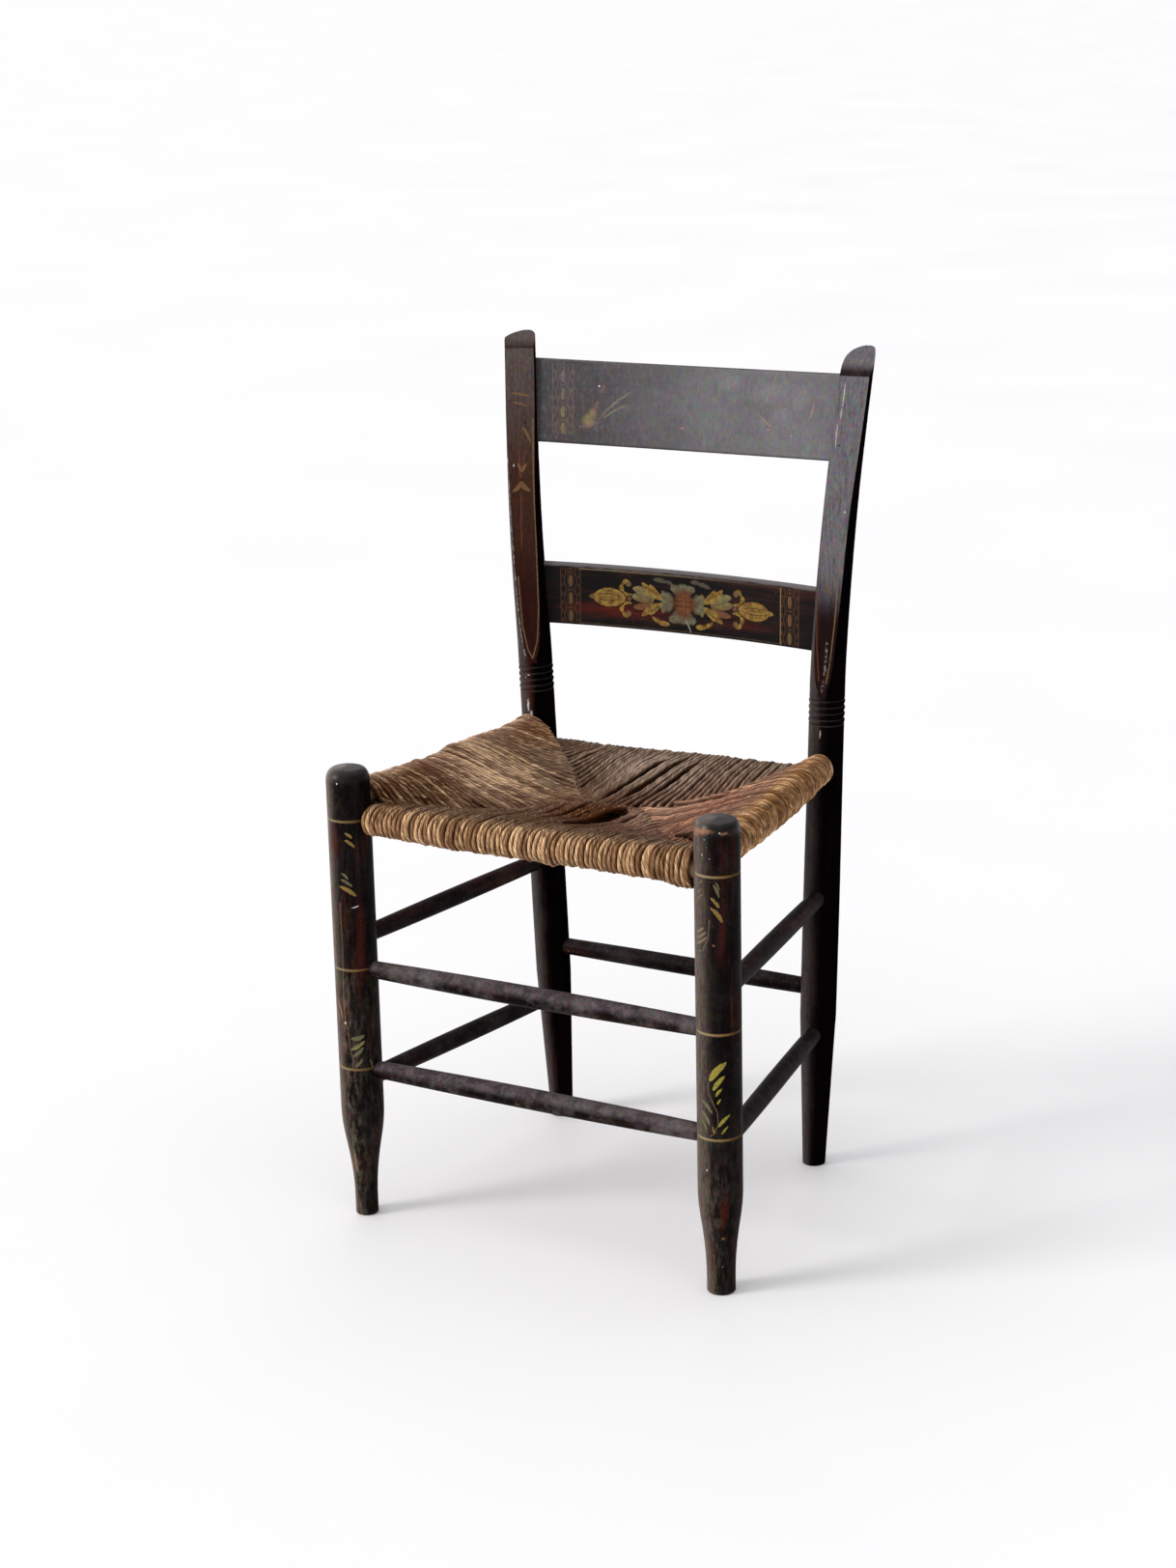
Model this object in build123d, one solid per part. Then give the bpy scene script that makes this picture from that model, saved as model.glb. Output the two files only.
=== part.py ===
from build123d import *
import os
from math import asin, degrees

# Stenciled side chair: four turned legs, the back pair bent above the seat and
# shaved flat in front, joined by turned rungs and by rails with round tenons.
# Two bent boards fill the back and a woven rush seat wraps four hidden rails.
# The origin is the middle of the chair's footprint on the floor, in millimetres.
# The chair faces -Y, and left and right are those of someone looking at its front.

# ---- where the legs stand --------------------------------------------------
front_leg_x = 199.6
front_leg_y = -167.8
front_leg_radius = 21.4
front_leg_top = 467.0
cap_height = 13.0
cap_crown = 0.8
cap_flat_radius = {"left": 13.0, "right": 16.5}
foot_radius = {"left": 11.4, "right": 13.6}
foot_taper_top = {"left": 118.0, "right": 106.0}
foot_edge = 1.2
foot_swell = 1.04
ring_heights = (417.0, 265.0, 161.0)
ring_width = 2.4
ring_depth = 0.35

# ---- back posts: a straight turned shaft, then a bend ----------------------
post_foot = Vector(150.6, 143.4, 0)
post_knee = Vector(166.8, 140.5, 505)
post_bend = (Vector(172.2, 141.1, 600), Vector(180.2, 149.0, 720), Vector(190.0, 166.0, 852))
post_foot_radius = 11.7
post_leg_radius = 18.4
post_taper_top = 165.0
post_narrows_from = 300.0
post_knee_radius = 17.6
post_tip_radius = 15.7
post_top = {"left": 842.8, "right": 846.0}
bead_start = 476.0
bead_pitch = 6.5
bead_count = 4
bead_swell = 0.4
groove_depth = 1.0
groove_edge = 0.8
# The shaved flat on the front of each post, from the beads up, as distance in front of
# the post's axis and height.
flat_curve = ((17.9, 506), (14.8, 533), (13.2, 570), (11.9, 610), (10.4, 685), (7.0, 755))
# Both flats are turned a little to the right of straight forward, in degrees.
flat_turn = {"left": 19.0, "right": 5.0}
# The thumb-shaped end: where the flat stops, the bevel that runs back from it, the
# crown and the rounding behind, as distance behind the axis and height below the top.
# The right post has the longer bevel. Seen from the front, the end is a low half ellipse.
thumb_curve = {
    "left": ((-5.1, 16.0), (-0.7, 7.0), (9.3, 0.7), (13.3, 0.0), (18.7, 5.0)),
    "right": ((-5.2, 27.0), (4.1, 10.5), (10.8, 0.8), (12.8, 0.0), (18.2, 5.0)),
}
crown_rise = {"left": 10.0, "right": 15.0}
crown_half_width = {"left": 16.6, "right": 19.8}
crown_x = {"left": 188.6, "right": 192.6}

# ---- back boards -------------------------------------------------------------
board_bow = 14.0
board_thickness = 8.0
crest_bottom = 733.0
crest_height = 85.0
crest_tilt = 10.5
crest_slope = 0.4
crest_y = 164.2
crest_reach = 169.0
slat_bottom = 545.7
slat_height = 64.5
slat_tilt = 1.0
slat_y = 147.6
slat_reach = 154.5
board_round = 2.6
housing_depth = 6.0
board_tenon_depth = 17.0
board_tenon_thickness = 6.0
board_shoulder = 7.0
tenon_round = 1.0
pin_radius = 1.9
pin_length = 15.0
pin_height = 752.0
pin_inset = 7.5

# ---- rungs and seat rails ----------------------------------------------------
rung_tenon_radius = 5.7
rung_end_radius = 8.6
front_rung_middle = 10.4
other_rung_middle = 9.5
front_rung_heights = {"upper": 262.0, "lower": 157.0}
back_rung_height = 193.6
# The height of each side rung at the front leg and at the back post.
side_rung_heights = {
    ("left", "upper"): (290.5, 290.5),
    ("left", "lower"): (140.5, 137.5),
    ("right", "upper"): (295.0, 295.0),
    ("right", "lower"): (144.8, 148.0),
}
front_tenon_past_axis = 3.0
back_tenon_past_axis = 2.0
tenon_cone = 10.0
front_rail_z = 415.0
back_rail_z = 409.5
side_rail_z = 432.5
rail_radius = 10.5
rail_end_radius = 8.4
rail_tenon_radius = 7.2
fit_clearance = 0.08

# ---- rush seat ---------------------------------------------------------------
front_roll_radius = 15.5
back_roll_radius = 15.5
side_roll_radius = 15.5
bridge_half_width = 27.0
bridge_y = 0.4
seat_middle_top = 408.5
seat_middle_bottom = 391.0
rush_thickness = 5.0
rush_gap = 0.3
# The two woven layers between the rail and the middle, as distance in from the rail
# and height.
front_top = ((50, 424), (105, 412))
front_underside = (50, 396)
back_top = ((40, 423.5), (85, 416))
back_underside = (50, 392)
side_top = ((28, 441.5), (64, 427.5), (112, 413.5))
side_underside = (50, 403)
# Two heights that hold all of the seat between them.
seat_space_low = 350.0
seat_space_high = 500.0


def post_axis_at(height):
    """The point of the right post's straight shaft at a height."""
    return post_foot + (post_knee - post_foot) * (height / post_knee.Z)


def mirrored(point, side):
    """A point of the right half, or its mirror image on the left."""
    return point if side == "right" else Vector(-point.X, point.Y, point.Z)


def front_leg_axis(side, height):
    return mirrored(Vector(front_leg_x, front_leg_y, height), side)


def back_post_axis(side, height):
    return mirrored(post_axis_at(height), side)


def turned(outline):
    """A turned solid from an outline of (radius, height) edges, about Z."""
    face = make_face(Plane.XZ * outline)
    return revolve(face, Axis.Z)


# ---- turned members between two legs ------------------------------------------
def spindle(start, end, start_past, end_past, end_radius, middle_radius, tenon_radius,
            start_leg, end_leg, clearance=0.0):
    """A member turned between two leg axes: two tenons, each with a short cone, and a
    shaft that swells to its middle. A clearance makes the cutter of its sockets."""
    length = (end - start).length
    low = -start_past - 4 * clearance
    high = length + end_past + 4 * clearance
    low_cone = start_leg - tenon_cone
    high_cone = length - end_leg + tenon_cone
    tenon = tenon_radius + clearance
    shoulder = end_radius + clearance
    middle = middle_radius + clearance
    points = {
        "tenon_low": (tenon, low),
        "cone_low": (tenon, low_cone),
        "face_low": (shoulder, start_leg),
        "middle": (middle, length / 2),
        "face_high": (shoulder, length - end_leg),
        "cone_high": (tenon, high_cone),
        "tenon_high": (tenon, high),
    }
    outline = Curve() + [
        Polyline((0, low), points["tenon_low"], points["cone_low"], points["face_low"]),
        Spline(points["face_low"], points["middle"], points["face_high"]),
        Polyline(points["face_high"], points["cone_high"], points["tenon_high"], (0, high), (0, low)),
    ]
    return Plane(origin=start, z_dir=end - start) * turned(outline)


def front_rung(level, clearance=0.0):
    height = front_rung_heights[level]
    return spindle(front_leg_axis("left", height), front_leg_axis("right", height),
                   front_tenon_past_axis, front_tenon_past_axis,
                   rung_end_radius, front_rung_middle, rung_tenon_radius,
                   front_leg_radius, front_leg_radius, clearance)


def back_rung(clearance=0.0):
    return spindle(back_post_axis("left", back_rung_height), back_post_axis("right", back_rung_height),
                   back_tenon_past_axis, back_tenon_past_axis,
                   rung_end_radius, other_rung_middle, rung_tenon_radius,
                   post_leg_radius, post_leg_radius, clearance)


def side_rung(side, level, clearance=0.0):
    front_height, back_height = side_rung_heights[side, level]
    return spindle(front_leg_axis(side, front_height), back_post_axis(side, back_height),
                   front_tenon_past_axis, back_tenon_past_axis,
                   rung_end_radius, other_rung_middle, rung_tenon_radius,
                   front_leg_radius, post_leg_radius, clearance)


def seat_rail(start, end, start_leg, end_leg, clearance=0.0):
    return spindle(start, end, front_tenon_past_axis, back_tenon_past_axis,
                   rail_end_radius, rail_radius, rail_tenon_radius, start_leg, end_leg, clearance)


def front_seat_rail(clearance=0.0):
    return seat_rail(front_leg_axis("left", front_rail_z), front_leg_axis("right", front_rail_z),
                     front_leg_radius, front_leg_radius, clearance)


def back_seat_rail(clearance=0.0):
    return seat_rail(back_post_axis("left", back_rail_z), back_post_axis("right", back_rail_z),
                     post_leg_radius, post_leg_radius, clearance)


def side_seat_rail(side, clearance=0.0):
    return seat_rail(front_leg_axis(side, side_rail_z), back_post_axis(side, side_rail_z),
                     front_leg_radius, post_leg_radius, clearance)


# ---- legs ---------------------------------------------------------------------
def front_leg_blank(side):
    """A plain round leg with a vase-shaped foot, a rounded cap and three scored rings."""
    foot = foot_radius[side]
    flat = cap_flat_radius[side]
    taper_top = foot_taper_top[side]
    middle_radius = (foot + front_leg_radius) / 2
    shoulder_top = front_leg_top - cap_crown
    shoulder = front_leg_top - cap_height
    outline = Curve() + [
        Polyline((0, 0), (foot - foot_edge, 0), (foot, foot_edge)),
        Spline((foot, foot_edge), (foot * foot_swell, 0.3 * taper_top),
               (middle_radius, 0.62 * taper_top), (front_leg_radius, taper_top),
               tangents=((0, 1), (0, 1))),
        Line((front_leg_radius, taper_top), (front_leg_radius, shoulder)),
        EllipticalCenterArc((flat, shoulder), front_leg_radius - flat, cap_height - cap_crown, arc_size=90),
        Spline((flat, shoulder_top), (0, front_leg_top), tangents=((-1, 0.02), (-1, 0))),
        Line((0, front_leg_top), (0, 0)),
    ]
    leg = turned(outline)
    for height in ring_heights:
        groove = Cylinder(front_leg_radius + 1, ring_width) - Cylinder(
            front_leg_radius - ring_depth, ring_width)
        leg -= Pos(0, 0, height) * groove
    return leg


def front_leg(side):
    """A front leg in place, bored for two front rungs, two side rungs and two rails."""
    leg = Pos(front_leg_axis(side, 0)) * front_leg_blank(side)
    leg -= front_rung("upper", fit_clearance)
    leg -= front_rung("lower", fit_clearance)
    leg -= side_rung(side, "upper", fit_clearance)
    leg -= side_rung(side, "lower", fit_clearance)
    leg -= front_seat_rail(fit_clearance)
    leg -= side_seat_rail(side, fit_clearance)
    return leg


def post_shaft():
    """The straight turned part of the right post, with its taper and its beads."""
    direction = post_knee - post_foot
    length = direction.length
    below_floor = -2.0
    bead_top = bead_start + bead_count * bead_pitch
    edges = [
        Polyline((0, below_floor), (post_foot_radius, below_floor), (post_leg_radius, post_taper_top)),
        Spline((post_leg_radius, post_taper_top), (post_leg_radius, post_narrows_from),
               (post_knee_radius, bead_start), tangents=((0, 1), (0, 1))),
    ]
    corner = post_knee_radius
    groove = post_knee_radius - groove_depth
    for index in range(bead_count):
        low = bead_start + index * bead_pitch
        bead_low = low + groove_edge
        bead_high = low + bead_pitch
        swell = (post_knee_radius + bead_swell, (bead_low + bead_high) / 2)
        edges.append(Line((corner, low), (groove, bead_low)))
        edges.append(ThreePointArc((groove, bead_low), swell, (groove, bead_high)))
        corner = groove
    edges.append(Polyline((groove, bead_top), (post_knee_radius, bead_top + groove_edge),
                          (post_knee_radius, length), (0, length), (0, below_floor)))
    shaft = Plane(origin=post_foot, x_dir=(1, 0, 0), z_dir=direction) * turned(Curve() + edges)
    under_floor = Pos(post_foot.X, post_foot.Y, -10) * Box(80, 80, 20)
    return shaft - under_floor


def bend_axis():
    """The axis of the right post above its knee."""
    return Spline(post_knee, *post_bend, tangents=(post_knee - post_foot, post_bend[2] - post_bend[1]),
                  tangent_scalars=(1, 1))


def bend_point(axis, height):
    """The point of the bent axis at a height, found by halving."""
    low, high = 0.0, 1.0
    for _ in range(30):
        middle = (low + high) / 2
        if (axis @ middle).Z < height:
            low = middle
        else:
            high = middle
    return axis @ low


def post_bent_part():
    """The bent upper part of the right post, round and tapering, before it is shaved."""
    axis = bend_axis()
    steps = 6
    sections = Sketch()
    for index in range(steps + 1):
        share = index / steps
        radius = post_knee_radius + share * (post_tip_radius - post_knee_radius)
        section_plane = Plane(origin=axis @ share, x_dir=(1, 0, 0), z_dir=axis % share)
        sections += section_plane * Circle(radius)
    return loft(sections)


def flat_plane(side):
    """The upright frame of a right post's flat: X along the flat, Y back from it."""
    turn = -flat_turn[side] if side == "left" else flat_turn[side]
    return Plane(origin=post_knee, x_dir=Vector(1, 0, 0).rotate(Axis.Z, turn), z_dir=(0, 0, 1))


def behind_axis(side, distance, height):
    """A point of the flat's frame, at a distance behind the post's axis and at a height."""
    on_axis = flat_plane(side).to_local_coords(bend_point(bend_axis(), height))
    return Vector(0, on_axis.Y + distance, height - post_knee.Z)


def shaving(side):
    """What the drawknife takes off the front of a right post, and off its end. Its far
    edges stand well clear of the post."""
    top = post_top[side]
    start, *rest = [behind_axis(side, -distance, height) for distance, height in flat_curve]
    flat_end, bevel, bevel_end, crown, back = [
        behind_axis(side, distance, top - drop) for distance, drop in thumb_curve[side]]
    above = crown.Z + 25
    before = start.Y - 25
    behind = back.Y + 25
    outline = Curve() + [
        Spline(start, *rest, flat_end),
        ThreePointArc(flat_end, bevel, bevel_end),
        ThreePointArc(bevel_end, crown, back),
        Polyline(back, Vector(0, behind, back.Z), Vector(0, behind, above), Vector(0, before, above),
                 Vector(0, before, start.Z), start),
    ]
    cutter = extrude(make_face(outline), 60, dir=(1, 0, 0), both=True)
    return flat_plane(side) * cutter


def crown_paring(side):
    """What is pared off the sides of a right post's end, above a half ellipse."""
    rise = crown_rise[side]
    reach = crown_half_width[side]
    over = Pos(0, rise) * Rectangle(3 * reach, 2 * rise)
    paring = Pos(crown_x[side], post_top[side] - rise) * (over - Ellipse(reach, rise))
    return extrude(Plane.XZ * paring, 300, both=True)


def post_blank(side):
    """A right post, shaved as the post on the given side is."""
    return post_shaft() + post_bent_part() - shaving(side) - crown_paring(side)


# ---- bent boards of the back -----------------------------------------------------
def bent_board(reach, end_y, middle_z, height, thickness, tilt, rounding, half_length):
    """A board bent to an arc. It passes (reach, end_y) at each side, bows back between
    them, leans back by the tilt, and ends at half_length from the middle."""
    radius = (reach ** 2 + board_bow ** 2) / (2 * board_bow)
    half_angle = degrees(asin(half_length / radius))
    middle = Plane(origin=(0, radius, 0), x_dir=(0, 1, 0), z_dir=(1, 0, 0))
    section = middle * RectangleRounded(thickness, height, rounding)
    board = Rot(0, 0, -half_angle) * revolve(section, Axis.Z, 2 * half_angle)
    board = Pos(0, board_bow - radius, 0) * board
    return Pos(0, end_y, middle_z) * Rot(-tilt, 0, 0) * board


def back_board(reach, end_y, middle_z, height, tilt, clearance=0.0):
    """A whole back board: housed at full section in both posts, with a thinner and
    lower tenon beyond."""
    body = bent_board(reach, end_y, middle_z, height + 2 * clearance,
                      board_thickness + 2 * clearance, tilt, board_round, reach + housing_depth)
    tenon = bent_board(reach, end_y, middle_z, height - 2 * board_shoulder + 2 * clearance,
                       board_tenon_thickness + 2 * clearance, tilt, tenon_round,
                       reach + board_tenon_depth + 4 * clearance)
    return body + tenon


def crest_rail(clearance=0.0):
    """The crest, a little higher on the right, as the posts are."""
    middle_z = crest_bottom + crest_height / 2
    board = back_board(crest_reach, crest_y, middle_z, crest_height, crest_tilt, clearance)
    return board.rotate(Axis((0, 0, middle_z), (0, 1, 0)), -crest_slope)


def back_slat(clearance=0.0):
    return back_board(slat_reach, slat_y, slat_bottom + slat_height / 2, slat_height,
                      slat_tilt, clearance)


def flat_y(side, x, height):
    """How far back the flat of a right post stands at a width and a height."""
    plane = flat_plane(side)
    across = behind_axis(side, -flat_curve[-1][0], height).Y
    along = (x - plane.origin.X - across * plane.y_dir.X) / plane.x_dir.X
    return plane.origin.Y + along * plane.x_dir.Y + across * plane.y_dir.Y


def crest_pin(side, clearance=0.0):
    """A wooden pin driven from the shaved flat back through the crest tenon."""
    pin_x = crest_reach + pin_inset
    pin = Pos(pin_x, flat_y(side, pin_x, pin_height), pin_height) * Rot(-90, 0, 0) * Cylinder(
        pin_radius + clearance, pin_length, align=(Align.CENTER, Align.CENTER, Align.MIN))
    return pin if side == "right" else mirror(pin, Plane.YZ)


def back_post(side):
    """A back post in place, mortised for the boards and bored for rails and rungs."""
    blank = post_blank(side)
    post = blank if side == "right" else mirror(blank, Plane.YZ)
    post -= crest_rail(fit_clearance)
    post -= back_slat(fit_clearance)
    post -= crest_pin(side)
    post -= back_rung(fit_clearance)
    post -= side_rung(side, "upper", fit_clearance)
    post -= side_rung(side, "lower", fit_clearance)
    post -= back_seat_rail(fit_clearance)
    post -= side_seat_rail(side, fit_clearance)
    return post


# ---- rush seat ----------------------------------------------------------------
def rush_outline(roll_z, roll_radius, top_points, bottom_points, inset=0.0):
    """The section of one woven side, as (distance inward from the rail, height): round
    the rail outside, and two sloping layers that meet over the middle of the seat.
    An inset gives the hollow between the layers, which starts inside the rail."""
    top = [(u, z - inset) for u, z in top_points]
    bottom = [(u, z + inset) for u, z in bottom_points]
    if inset:
        hollow_start = roll_radius + 2
        top[0] = (hollow_start, top[0][1] - 1)
        bottom[0] = (hollow_start, bottom[0][1] + 1)
        outside = Line(bottom[0], top[0])
    else:
        outside = ThreePointArc(bottom[0], (-roll_radius, roll_z), top[0])
    return Curve() + [
        outside,
        Spline(*top),
        Line(top[-1], bottom[-1]),
        Spline(*bottom[::-1]),
    ]


def front_section(inset=0.0):
    run = bridge_y - front_leg_y
    top = ((0, front_rail_z + front_roll_radius), *front_top, (run, seat_middle_top))
    bottom = ((0, front_rail_z - front_roll_radius), front_underside, (run, seat_middle_bottom))
    outline = rush_outline(front_rail_z, front_roll_radius, top, bottom, inset)
    plane = Plane(origin=(-front_leg_x, front_leg_y, 0), x_dir=(0, 1, 0), z_dir=(1, 0, 0))
    return extrude(plane * make_face(outline), 2 * front_leg_x)


def back_section(inset=0.0):
    axis = post_axis_at(back_rail_z)
    run = axis.Y - bridge_y
    top = ((0, back_rail_z + back_roll_radius), *back_top, (run, seat_middle_top))
    bottom = ((0, back_rail_z - back_roll_radius), back_underside, (run, seat_middle_bottom))
    outline = rush_outline(back_rail_z, back_roll_radius, top, bottom, inset)
    plane = Plane(origin=(axis.X, axis.Y, 0), x_dir=(0, -1, 0), z_dir=(-1, 0, 0))
    return extrude(plane * make_face(outline), 2 * axis.X)


def side_section(side, inset=0.0):
    front = front_leg_axis("left", side_rail_z)
    back = back_post_axis("left", side_rail_z)
    run = front_leg_x - bridge_half_width
    past_run = run + 10
    top = ((0, side_rail_z + side_roll_radius), *side_top, (run, seat_middle_top),
           (past_run, seat_middle_top))
    bottom = ((0, side_rail_z - side_roll_radius), side_underside, (past_run, seat_middle_bottom))
    outline = rush_outline(side_rail_z, side_roll_radius, top, bottom, inset)
    plane = Plane(origin=(front.X, front.Y, 0), x_dir=(1, 0, 0), z_dir=(0, -1, 0))
    section = extrude(plane * make_face(outline), (back - front).length, dir=back - front)
    return section if side == "left" else mirror(section, Plane.YZ)


def seat_zone(zone, inset=0.0):
    """The upright prism that holds one woven side: its seams run from the leg axes to
    the ends of the bridge in the middle."""
    front_x, front_y = front_leg_x, front_leg_y
    back = post_axis_at(side_rail_z)
    middle = bridge_half_width
    outside = 40
    corners = {
        "front": [(-front_x, front_y - outside), (front_x, front_y - outside), (front_x, front_y),
                  (middle, bridge_y), (-middle, bridge_y), (-front_x, front_y)],
        "back": [(-back.X, back.Y + outside), (-back.X, back.Y), (-middle, bridge_y),
                 (middle, bridge_y), (back.X, back.Y), (back.X, back.Y + outside)],
        "left": [(-front_x - outside, front_y), (-front_x, front_y), (-middle, bridge_y),
                 (-back.X, back.Y), (-front_x - outside, back.Y)],
        "right": [(front_x + outside, front_y), (front_x, front_y), (middle, bridge_y),
                  (back.X, back.Y), (front_x + outside, back.Y)],
    }
    face = make_face(Polyline(*corners[zone], close=True))
    if inset:
        face = offset(face, -inset)
    return Pos(0, 0, seat_space_low) * extrude(face, seat_space_high - seat_space_low)


def woven_block(zone, inset=0.0):
    sections = {"front": front_section, "back": back_section}
    if zone in sections:
        block = sections[zone](inset)
    else:
        block = side_section(zone, inset)
    return block & seat_zone(zone, inset)


def corner_columns():
    """The legs as plain columns, a little fat, to keep the rush off the wood."""
    columns = Part()
    for side in ("left", "right"):
        for axis, radius in ((front_leg_axis, front_leg_radius), (back_post_axis, post_leg_radius)):
            low = axis(side, seat_space_low)
            rise = axis(side, seat_space_high) - low
            columns += Plane(origin=low, z_dir=rise) * Cylinder(
                radius + rush_gap, rise.length, align=(Align.CENTER, Align.CENTER, Align.MIN))
    return columns


def seat_rails():
    return {
        "front": front_seat_rail(),
        "back": back_seat_rail(),
        "left": side_seat_rail("left"),
        "right": side_seat_rail("right"),
    }


def rush(zone, rails, columns):
    """One woven side of the seat: wrapped round its rail and hollow between the layers."""
    woven = woven_block(zone) - columns
    woven -= woven_block(zone, rush_thickness)
    woven -= rails[zone]
    return woven


def stuffing(zone):
    """Loose rush leaves packed between the two woven layers."""
    return woven_block(zone, rush_thickness + rush_gap)


# ---- the whole chair ------------------------------------------------------------
def main():
    rails = seat_rails()
    columns = corner_columns()
    pieces = {
        "crest_rail": crest_rail() - crest_pin("left") - crest_pin("right"),
        "back_slat": back_slat(),
        "crest_pins": crest_pin("left") + crest_pin("right"),
        "front_rung_upper": front_rung("upper"),
        "front_rung_lower": front_rung("lower"),
        "back_rung": back_rung(),
    }
    for side in ("left", "right"):
        pieces[f"front_leg_{side}"] = front_leg(side)
        pieces[f"back_post_{side}"] = back_post(side)
        for level in ("upper", "lower"):
            pieces[f"side_rung_{side}_{level}"] = side_rung(side, level)
    for zone, rail in rails.items():
        pieces[f"seat_rail_{zone}"] = rail
        pieces[f"rush_{zone}"] = rush(zone, rails, columns)
        pieces[f"stuffing_{zone}"] = stuffing(zone)
    os.makedirs("parts", exist_ok=True)
    for name, shape in pieces.items():
        export_step(shape, f"parts/{name}.step")


main()
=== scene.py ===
from functools import partial, reduce
from math import hypot, pi, radians, tau

import bpy
import numpy as np
from mathutils import Matrix, Vector


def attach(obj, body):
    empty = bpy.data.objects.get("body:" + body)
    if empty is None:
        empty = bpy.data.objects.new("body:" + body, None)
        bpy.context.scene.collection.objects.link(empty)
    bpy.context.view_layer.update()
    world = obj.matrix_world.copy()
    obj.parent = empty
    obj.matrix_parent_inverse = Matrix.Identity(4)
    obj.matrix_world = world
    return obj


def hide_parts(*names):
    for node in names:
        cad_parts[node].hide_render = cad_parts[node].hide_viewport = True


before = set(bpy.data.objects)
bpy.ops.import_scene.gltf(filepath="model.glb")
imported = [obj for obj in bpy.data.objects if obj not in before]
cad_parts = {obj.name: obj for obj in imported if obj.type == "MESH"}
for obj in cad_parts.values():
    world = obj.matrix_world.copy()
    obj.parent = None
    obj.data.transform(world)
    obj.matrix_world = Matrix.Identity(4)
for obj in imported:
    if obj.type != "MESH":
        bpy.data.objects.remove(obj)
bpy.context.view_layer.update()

scene = bpy.context.scene
scene.view_settings.view_transform = "Standard"


# ROOM
# A pale floor that runs to the horizon, daylight from a wide window low on the left,
# and the camera. The camera looks down at the chair from its right front.
def put(socket, value):
    """Links a socket to another one, or gives it a value. A colour comes without its alpha."""
    if isinstance(value, bpy.types.NodeSocket):
        tree.links.new(value, socket)
    else:
        socket.default_value = (*value, 1) if socket.type == "RGBA" else value


def add(kind, feeds=None, **settings):
    """One shader node in the tree that is open. Feeds gives inputs, by name or number."""
    made = tree.nodes.new("ShaderNode" + kind)
    for name, value in settings.items():
        setattr(made, name, value)
    for name, value in (feeds or {}).items():
        put(made.inputs[name], value)
    return made


def calc(operation, *values, clamp=False):
    """One step of arithmetic."""
    return add("Math", dict(enumerate(values)), operation=operation, use_clamp=clamp).outputs[0]


def times(*values):
    return reduce(partial(calc, "MULTIPLY"), values)


def vector_calc(operation, *points, output="Vector"):
    return add("VectorMath", dict(enumerate(points)), operation=operation).outputs[output]


def measured(operation, *points):
    """A number that points give, such as how far apart they are."""
    return vector_calc(operation, *points, output="Value")


def coat(under, over, *shares):
    """One colour laid over another, by the product of its shares."""
    return add("Mix", {0: times(*shares), 6: under, 7: over}, data_type="RGBA").outputs[2]


def ramp(value, low, high, start=0, end=1):
    """A smooth step that goes from start to end while the value goes from low to high."""
    feeds = {"Value": value, "From Min": low, "From Max": high, "To Min": start, "To Max": end}
    return add("MapRange", feeds, interpolation_type="SMOOTHSTEP").outputs["Result"]


def noise(point, scale, detail=2, roughness=0.5, distortion=0, output="Fac"):
    feeds = {"Vector": point, "Scale": scale, "Detail": detail, "Roughness": roughness,
             "Distortion": distortion}
    return add("TexNoise", feeds).outputs[output]


def new_material(name):
    """A new material, opened as the tree, with its principled shader and its coordinates."""
    global tree
    material = bpy.data.materials.new(name)
    material.use_nodes = True
    tree = material.node_tree
    return material, tree.nodes["Principled BSDF"], add("TexCoord").outputs


def feed(sockets, **inputs):
    """Fills sockets, whose names are given with underscores."""
    for name, value in inputs.items():
        put(sockets[name.replace("_", " ")], value)


floor_reach = 60
floor_ring = [(floor_reach * np.cos(turn), floor_reach * np.sin(turn), -0.0002)
              for turn in np.arange(64) * tau / 64]
floor_mesh = bpy.data.meshes.new("floor")
floor_mesh.from_pydata(floor_ring, [], [range(64)])
floor = bpy.data.objects.new("floor", floor_mesh)
scene.collection.objects.link(floor)
floor_paint, shader, place = new_material("floor_paint")
cloud = noise(place["Object"], 1.7, 4)
feed(shader.inputs, Base_Color=coat((0.928, 0.92, 0.93), (0.966, 0.958, 0.968), cloud),
     Roughness=ramp(cloud, 0.3, 0.7, 0.5, 0.62), Specular_IOR_Level=0.3)
floor_mesh.materials.append(floor_paint)

world = bpy.data.worlds.new("daylight_room")
scene.world = world
world.use_nodes = True
tree = world.node_tree
air = tree.nodes["Background"]
direction = add("TexCoord").outputs["Generated"]
window_side = measured("DOT_PRODUCT", direction, (-0.7, -0.6, 0.38))
room = coat((0.52, 0.52, 0.53), (1.05, 1.05, 1.06), ramp(window_side, -0.8, 0.9))
put(air.inputs["Color"], room)

window_angle = 20
window_light = bpy.data.lights.new("window", "SUN")
window_light.energy = 1.75
window_light.angle = radians(window_angle)
window_light.color = (1, 0.985, 0.965)
window = bpy.data.objects.new("window", window_light)
scene.collection.objects.link(window)
window.rotation_euler = Vector((-0.64, -0.64, 0.42)).to_track_quat("Z", "Y").to_euler()

camera = bpy.data.objects.new("camera", bpy.data.cameras.new("camera"))
scene.collection.objects.link(camera)
scene.camera = camera
camera.data.sensor_fit = "VERTICAL"
camera.data.sensor_height = 36
camera.data.lens = 69.228
camera.data.clip_end = 200
camera_yaw = 0.514786
camera_pitch = 0.286139
camera_roll = -0.0225688
camera.matrix_world = (
    Matrix.Translation((1.37992, -2.48891, 1.26684)) @ Matrix.Rotation(camera_yaw, 4, "Z")
    @ Matrix.Rotation(pi / 2 - camera_pitch, 4, "X") @ Matrix.Rotation(camera_roll, 4, "Z"))


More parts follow.
